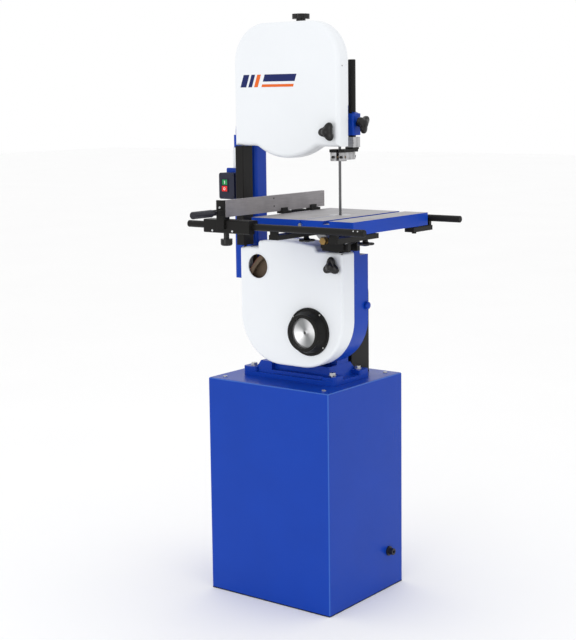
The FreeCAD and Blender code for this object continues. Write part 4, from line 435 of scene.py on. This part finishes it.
def add_piece(name, mesh_data, finish, body, smooth=True):
    """Turn a bmesh into a piece that rides on a body."""
    mesh = bpy.data.meshes.new(name)
    bmesh.ops.recalc_face_normals(mesh_data, faces=mesh_data.faces)
    mesh_data.to_mesh(mesh)
    mesh_data.free()
    mesh.materials.append(MATERIALS[finish])
    for polygon in mesh.polygons:
        polygon.use_smooth = smooth
    piece = bpy.data.objects.new(name, mesh)
    bpy.context.scene.collection.objects.link(piece)
    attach(piece, body)
    return piece


def add_rings(mesh_data, rings, close_start=True, close_end=True):
    """Skin a list of point rings of equal length into the bmesh."""
    loops = [[mesh_data.verts.new(point) for point in ring] for ring in rings]
    count = len(loops[0])
    for first, second in zip(loops, loops[1:]):
        for i in range(count):
            j = (i + 1) % count
            mesh_data.faces.new((first[i], first[j], second[j], second[i]))
    if close_start:
        mesh_data.faces.new(tuple(reversed(loops[0])))
    if close_end:
        mesh_data.faces.new(tuple(loops[-1]))


def axes_for(direction):
    """Two unit vectors across a direction."""
    across = Vector((0, 0, 1)) if abs(direction.z) < 0.9 else Vector((1, 0, 0))
    first = direction.cross(across).normalized()
    return first, direction.cross(first).normalized()


def circle(foot, direction, radius, lift, sides):
    """Points round an axis: radius and lift along the axis are in mm, foot in metres."""
    first, second = axes_for(direction)
    return [Vector(foot) + direction * lift * MM
            + (first * math.cos(2 * math.pi * i / sides)
               + second * math.sin(2 * math.pi * i / sides)) * radius * MM
            for i in range(sides)]


def turned(mesh_data, foot, direction, profile, sides=24):
    """Add a turned solid: profile is a list of (radius, height) in mm from the foot."""
    direction = Vector(direction).normalized()
    add_rings(mesh_data, [circle(foot, direction, radius, height, sides)
                          for radius, height in profile])


def screw_profile(radius, height):
    """Pan head with a rounded shoulder and a shallow socket."""
    return [(radius, -0.6), (radius, height * 0.45), (radius * 0.93, height * 0.8),
            (radius * 0.75, height), (radius * 0.48, height), (radius * 0.42, height * 0.55),
            (0.05, height * 0.5)]


def screws(name, places, direction, radius, height, finish, body):
    """Several small pan-head screws as one piece; places are in mm."""
    mesh_data = bmesh.new()
    for place in places:
        turned(mesh_data, Vector(place) * MM, direction, screw_profile(radius, height))
    return add_piece(name, mesh_data, finish, body)


def plate(mesh_data, outline, depth, normal):
    """Add a flat plate: outline points in mm, standing proud along the normal."""
    lift = Vector(normal) * depth * MM
    low = [Vector(point) * MM for point in outline]
    add_rings(mesh_data, [low, [point + lift for point in low]])


PORT = (131.0, 850.0)
FLANGE_Y = -161.0
FLANGE_SCREW_R = 69.2
screws("collar_screws",
       [(PORT[0] + FLANGE_SCREW_R * math.cos(math.radians(turn)), FLANGE_Y,
         PORT[1] + FLANGE_SCREW_R * math.sin(math.radians(turn))) for turn in (-38, 52, 142, 232)],
       (0, -1, 0), 2.4, 1.4, "zinc", "lower_door_set")
screws("carriage_screws", [(1.0, -437.0, 1170.5), (74.0, -437.0, 1171.0)], (0, -1, 0), 3.4, 2.0,
       "bright", "fence_set")
screws("plate_screw", [(36.5, -445.0, 1237.0)], (0, -1, 0), 3.6, 2.4, "bright", "fence_set")
screws("fence_screws", [(50.0, -214.0, 1249.0), (50.0, -213.0, 1226.0)], (1, 0, 0), 2.6, 0.5,
       "grip", "fence_set")
screws("rail_screws", [(477.0, -423.5, 1189.2), (491.0, -423.5, 1189.2)], (0, -0.85, 0.52), 2.0,
       0.9, "bright", "table_set")
screws("door_rivet", [(249.0, -144.0, 1631.0)], (1, 0, 0), 2.2, 0.9, "dull_alloy",
       "upper_door_set")
screws("switch_screws", [(-224.0, -130.0, 1240.0), (-176.0, -130.0, 1240.0),
                         (-224.0, -130.0, 1307.0), (-176.0, -130.0, 1307.0)], (0, -1, 0), 2.2, 0.8,
       "grip", "base")
screws("trunnion_screws", [(188.0, -157.0, 1190.0)], (0, -1, 0), 2.0, 0.5, "dull_alloy",
       "table_set")


UPPER_DOOR_Y = -162.0
MARK_T = 0.3
MARK_LEAN = 0.35
MARK_MID_Z = 1590.0


def door_mark(name, finish, bars):
    """Plain slanted bars on the upper door, each (x0, x1, z0, z1): no letters, no symbol."""
    mesh_data = bmesh.new()
    for x0, x1, z0, z1 in bars:
        low_shift = MARK_LEAN * (z0 - MARK_MID_Z)
        high_shift = MARK_LEAN * (z1 - MARK_MID_Z)
        plate(mesh_data, [(x, UPPER_DOOR_Y, z) for x, z in (
            (x0 + low_shift, z0), (x1 + low_shift, z0), (x1 + high_shift, z1),
            (x0 + high_shift, z1))], MARK_T, (0, -1, 0))
    add_piece(name, mesh_data, finish, "upper_door_set", False)


door_mark("door_mark_navy", "navy",
          ((-106, -84, 1574, 1611), (-76, -62, 1574, 1611), (-26, 92, 1590, 1611)))
door_mark("door_mark_orange", "orange", ((-54, -40, 1574, 1611), (-26, 92, 1574, 1582)))


def housing_boss():
    """Round enamelled boss low on the right wall of the lower housing."""
    boss = bmesh.new()
    turned(boss, Vector((251.5, -31.0, 924.0)) * MM, (1, 0, 0),
           [(11.5, -0.5), (11.5, 6.5), (10.6, 9.0), (8.4, 10.8), (4.6, 11.8), (0.1, 12.2)], 32)
    add_piece("housing_boss", boss, "blue", "base")


housing_boss()


def column_strip():
    """Pale strip of sheet on the front of the column, left of the return channel."""
    strip = bmesh.new()
    plate(strip, [(-197.0, -98.0, 1327.0), (-183.0, -98.0, 1327.0), (-183.0, -98.0, 1391.0),
                  (-197.0, -98.0, 1391.0)], 0.5, (0, -1, 0))
    add_piece("column_strip", strip, "white", "base", False)


column_strip()


def button_marks():
    """The usual on bar and off ring on the two buttons."""
    bar = bmesh.new()
    plate(bar, [(-208.2, -131.0, 1280.5), (-205.8, -131.0, 1280.5), (-205.8, -131.0, 1289.5),
                (-208.2, -131.0, 1289.5)], 0.25, (0, -1, 0))
    add_piece("start_mark", bar, "mark", "start_button", False)
    ring = bmesh.new()
    sides = 32
    outer, inner, thick = 4.2, 2.6, 0.25
    centre_x, face_y, centre_z = -207.0, -132.5, 1265.0
    circles = []
    for radius, y in ((outer, face_y), (outer, face_y - thick), (inner, face_y - thick),
                      (inner, face_y)):
        circles.append([Vector((centre_x + radius * math.cos(2 * math.pi * i / sides), y,
                                centre_z + radius * math.sin(2 * math.pi * i / sides))) * MM
                        for i in range(sides)])
    add_rings(ring, circles + circles[:1], False, False)
    bmesh.ops.remove_doubles(ring, verts=ring.verts, dist=1e-7)
    add_piece("stop_mark", ring, "mark", "stop_button", False)


button_marks()

# The blade's loop: two straight runs between two half turns round the wheels.
WHEEL_X = 55.0
WHEEL_R = 177.8
LOW_Z = 929.375
HIGH_Z = 1558.25
BLADE_FRONT_Y = -142.35
BLADE_MID_R = WHEEL_R + 0.6
TOOTH_PITCH = 4.2
TOOTH_DEPTH = 1.3
TOOTH_HALF_T = 0.28


def blade_point(distance):
    """Point and direction on the blade's loop, going up on the right and down on the left."""
    run = HIGH_Z - LOW_Z
    arc = math.pi * BLADE_MID_R
    if distance < run:
        return Vector((WHEEL_X + BLADE_MID_R, 0, LOW_Z + distance)), Vector((0, 0, 1))
    distance -= run
    if distance < arc:
        turn = distance / BLADE_MID_R
        return (Vector((WHEEL_X + BLADE_MID_R * math.cos(turn), 0,
                        HIGH_Z + BLADE_MID_R * math.sin(turn))),
                Vector((-math.sin(turn), 0, math.cos(turn))))
    distance -= arc
    if distance < run:
        return Vector((WHEEL_X - BLADE_MID_R, 0, HIGH_Z - distance)), Vector((0, 0, -1))
    turn = (distance - run) / BLADE_MID_R
    return (Vector((WHEEL_X - BLADE_MID_R * math.cos(turn), 0,
                    LOW_Z - BLADE_MID_R * math.sin(turn))),
            Vector((math.sin(turn), 0, -math.cos(turn))))


def blade_teeth():
    """Raked teeth along the front edge of the whole loop, leaning towards the cut."""
    loop = 2.0 * (HIGH_Z - LOW_Z) + 2.0 * math.pi * BLADE_MID_R
    count = int(loop / TOOTH_PITCH)
    mesh_data = bmesh.new()
    for i in range(count):
        place, along = blade_point(loop * i / count)
        across = Vector((0, 1, 0)).cross(along)
        root = Vector((place.x, BLADE_FRONT_Y + 0.2, place.z))
        tip = Vector((place.x, BLADE_FRONT_Y - TOOTH_DEPTH, place.z)) - along * TOOTH_PITCH * 0.25
        corners = [root - along * TOOTH_PITCH * 0.35, tip, root + along * TOOTH_PITCH * 0.5]
        sides = [[(corner + across * side * TOOTH_HALF_T) * MM for corner in corners]
                 for side in (-1, 1)]
        add_rings(mesh_data, sides)
    add_piece("blade_teeth", mesh_data, "bright", "base", False)


blade_teeth()


# ---- hand knobs ---------------------------------------------------------------------------

def lobed_knob(name, node, body, foot, direction, lobes, valley_r, lobe_r, base_h, height, dome,
               neck_r, phase, stud):
    """Moulded hand knob with soft lobes and a domed crown, standing for its CAD node."""
    direction = Vector(direction).normalized()
    first, second = axes_for(direction)
    sides = lobes * 24

    def ring(scale, lift):
        points = []
        for i in range(sides):
            turn = 2.0 * math.pi * i / sides
            swell = (0.5 + 0.5 * math.cos(lobes * (turn - phase))) ** 1.1
            reach = (valley_r + (lobe_r - valley_r) * swell) * scale
            points.append(Vector(foot) + (first * math.cos(turn) + second * math.sin(turn))
                          * reach * MM + direction * lift * MM)
        return points

    stud_r, stud_length = stud
    mesh_data = bmesh.new()
    rings = [circle(foot, direction, radius, lift, sides)
             for radius, lift in ((stud_r, -stud_length), (stud_r, 0.0), (neck_r, 0.05),
                                  (neck_r, base_h * 0.8), (neck_r * 1.15, base_h))]
    for scale, lift in ((0.82, 0.0), (0.94, 0.08), (1.0, 0.28), (1.0, 0.55), (0.96, 0.76),
                        (0.88, 0.88), (0.74, 0.95), (0.58, 0.99)):
        rings.append(ring(scale, base_h + height * lift))
    for scale, lift in ((0.40, 0.35), (0.28, 0.75), (0.14, 0.96), (0.01, 1.0)):
        rings.append(circle(foot, direction, lobe_r * scale, base_h + height + dome * lift,
                            sides))
    add_rings(mesh_data, rings)
    piece = add_piece(name, mesh_data, "knob", body)
    smooth = piece.modifiers.new("soft", "SUBSURF")
    smooth.levels = 1
    smooth.render_levels = 1
    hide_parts(node)


lobed_knob("upper_door_hand_knob", "upper_door_knob", "upper_door_knob",
           (0.217, -0.1624, 1.443), (0, -1, 0), 3, 17.5, 29.5, 8.0, 14.5, 7.0, 11.0,
           math.radians(4), (4.0, 45.0))
lobed_knob("lower_door_hand_knob", "lower_door_knob", "lower_door_knob",
           (0.222, -0.1544, 1.052), (0, -1, 0), 3, 17.5, 29.5, 8.0, 14.5, 7.0, 11.0,
           math.radians(-90), (4.0, 74.0))
lobed_knob("clamp_hand_knob", "clamp_knob", "clamp_knob",
           (0.2516, -0.072, 1.465), (1, 0, 0), 3, 16.5, 30.0, 14.0, 15.5, 5.0, 10.0,
           math.radians(96), (4.9, 7.0))
STAR_Z = 1.1481
for side, star_x in (("left", 0.189), ("right", 0.393)):
    lobed_knob("star_hand_knob_" + side, "star_knob_" + side, "star_knob_" + side,
               (star_x, -0.243, STAR_Z), (0, 0, -1), 5, 18.0, 25.6, 9.0, 8.5, 2.0, 8.0,
               math.radians(90), (4.0, 30.0))


# ---- stage, light and camera --------------------------------------------------------------

scene = bpy.context.scene
scene.view_settings.view_transform = "Standard"
scene.view_settings.look = "None"
scene.view_settings.exposure = 0.0

FLOOR_HALF = 30.0
FLOOR_Z = -0.0006
floor_data = bmesh.new()
floor_data.faces.new([floor_data.verts.new((x * FLOOR_HALF, y * FLOOR_HALF, FLOOR_Z))
                      for x, y in ((-1, -1), (1, -1), (1, 1), (-1, 1))])
floor_mesh = bpy.data.meshes.new("floor")
floor_data.to_mesh(floor_mesh)
floor_data.free()
floor = bpy.data.objects.new("floor", floor_mesh)
scene.collection.objects.link(floor)
floor_graph = Graph("pale_floor")
floor_tone = floor_graph.noise(1.2, 2.0)
floor_color = floor_graph.mix(floor_graph.spread(floor_tone, 0.3, 0.7), (0.97, 0.97, 0.97, 1.0),
                              (0.98, 0.98, 0.98, 1.0))
floor_mesh.materials.append(floor_graph.finish(
    floor_color, 0.9, floor_graph.bump(floor_graph.noise(60.0, 2.0), 0.0001), specular=0.1))

world = bpy.data.worlds.new("studio")
world.use_nodes = True
background = world.node_tree.nodes["Background"]
background.inputs["Color"].default_value = (1.0, 1.0, 1.0, 1.0)
background.inputs["Strength"].default_value = 1.0
scene.world = world


def softbox(name, place, target, size, power):
    """Soft rectangular studio light."""
    light = bpy.data.lights.new(name, "AREA")
    light.shape = "RECTANGLE"
    light.size = size[0]
    light.size_y = size[1]
    light.energy = power
    lamp = bpy.data.objects.new(name, light)
    lamp.location = place
    lamp.rotation_euler = (Vector(target) - Vector(place)).to_track_quat("-Z", "Y").to_euler()
    scene.collection.objects.link(lamp)


AIM = (0.1, -0.1, 0.95)
softbox("key_light", (0.3, -3.8, 1.3), AIM, (2.4, 1.8), 17.0)
softbox("side_light", (3.4, -0.4, 2.2), AIM, (1.6, 2.4), 3.0)
softbox("top_light", (0.2, 0.4, 4.2), AIM, (3.0, 3.0), 7.0)

CAMERA_PLACE = (2.555, -3.435, 1.539)
YAW = math.radians(37.33)
PITCH = math.radians(-7.44)
ROLL = math.radians(-0.71)
FOCAL_PX = 1388.5
FRAME_H = 640.0
CENTRE_Y_PX = 280.0
forward = Vector((-math.sin(YAW) * math.cos(PITCH), math.cos(YAW) * math.cos(PITCH),
                  math.sin(PITCH)))
level_right = Vector((math.cos(YAW), math.sin(YAW), 0.0))
level_up = level_right.cross(forward)
right = level_right * math.cos(ROLL) + level_up * math.sin(ROLL)
up = level_up * math.cos(ROLL) - level_right * math.sin(ROLL)
camera_data = bpy.data.cameras.new("camera")
camera = bpy.data.objects.new("camera", camera_data)
camera_data.sensor_width = 36.0
camera_data.lens = FOCAL_PX * camera_data.sensor_width / FRAME_H
camera_data.shift_y = (CENTRE_Y_PX - FRAME_H / 2.0) / FRAME_H
camera_data.clip_end = 100.0
camera.matrix_world = Matrix.Translation(CAMERA_PLACE) @ Matrix(
    (right, up, -forward)).transposed().to_4x4()
scene.collection.objects.link(camera)
scene.camera = camera
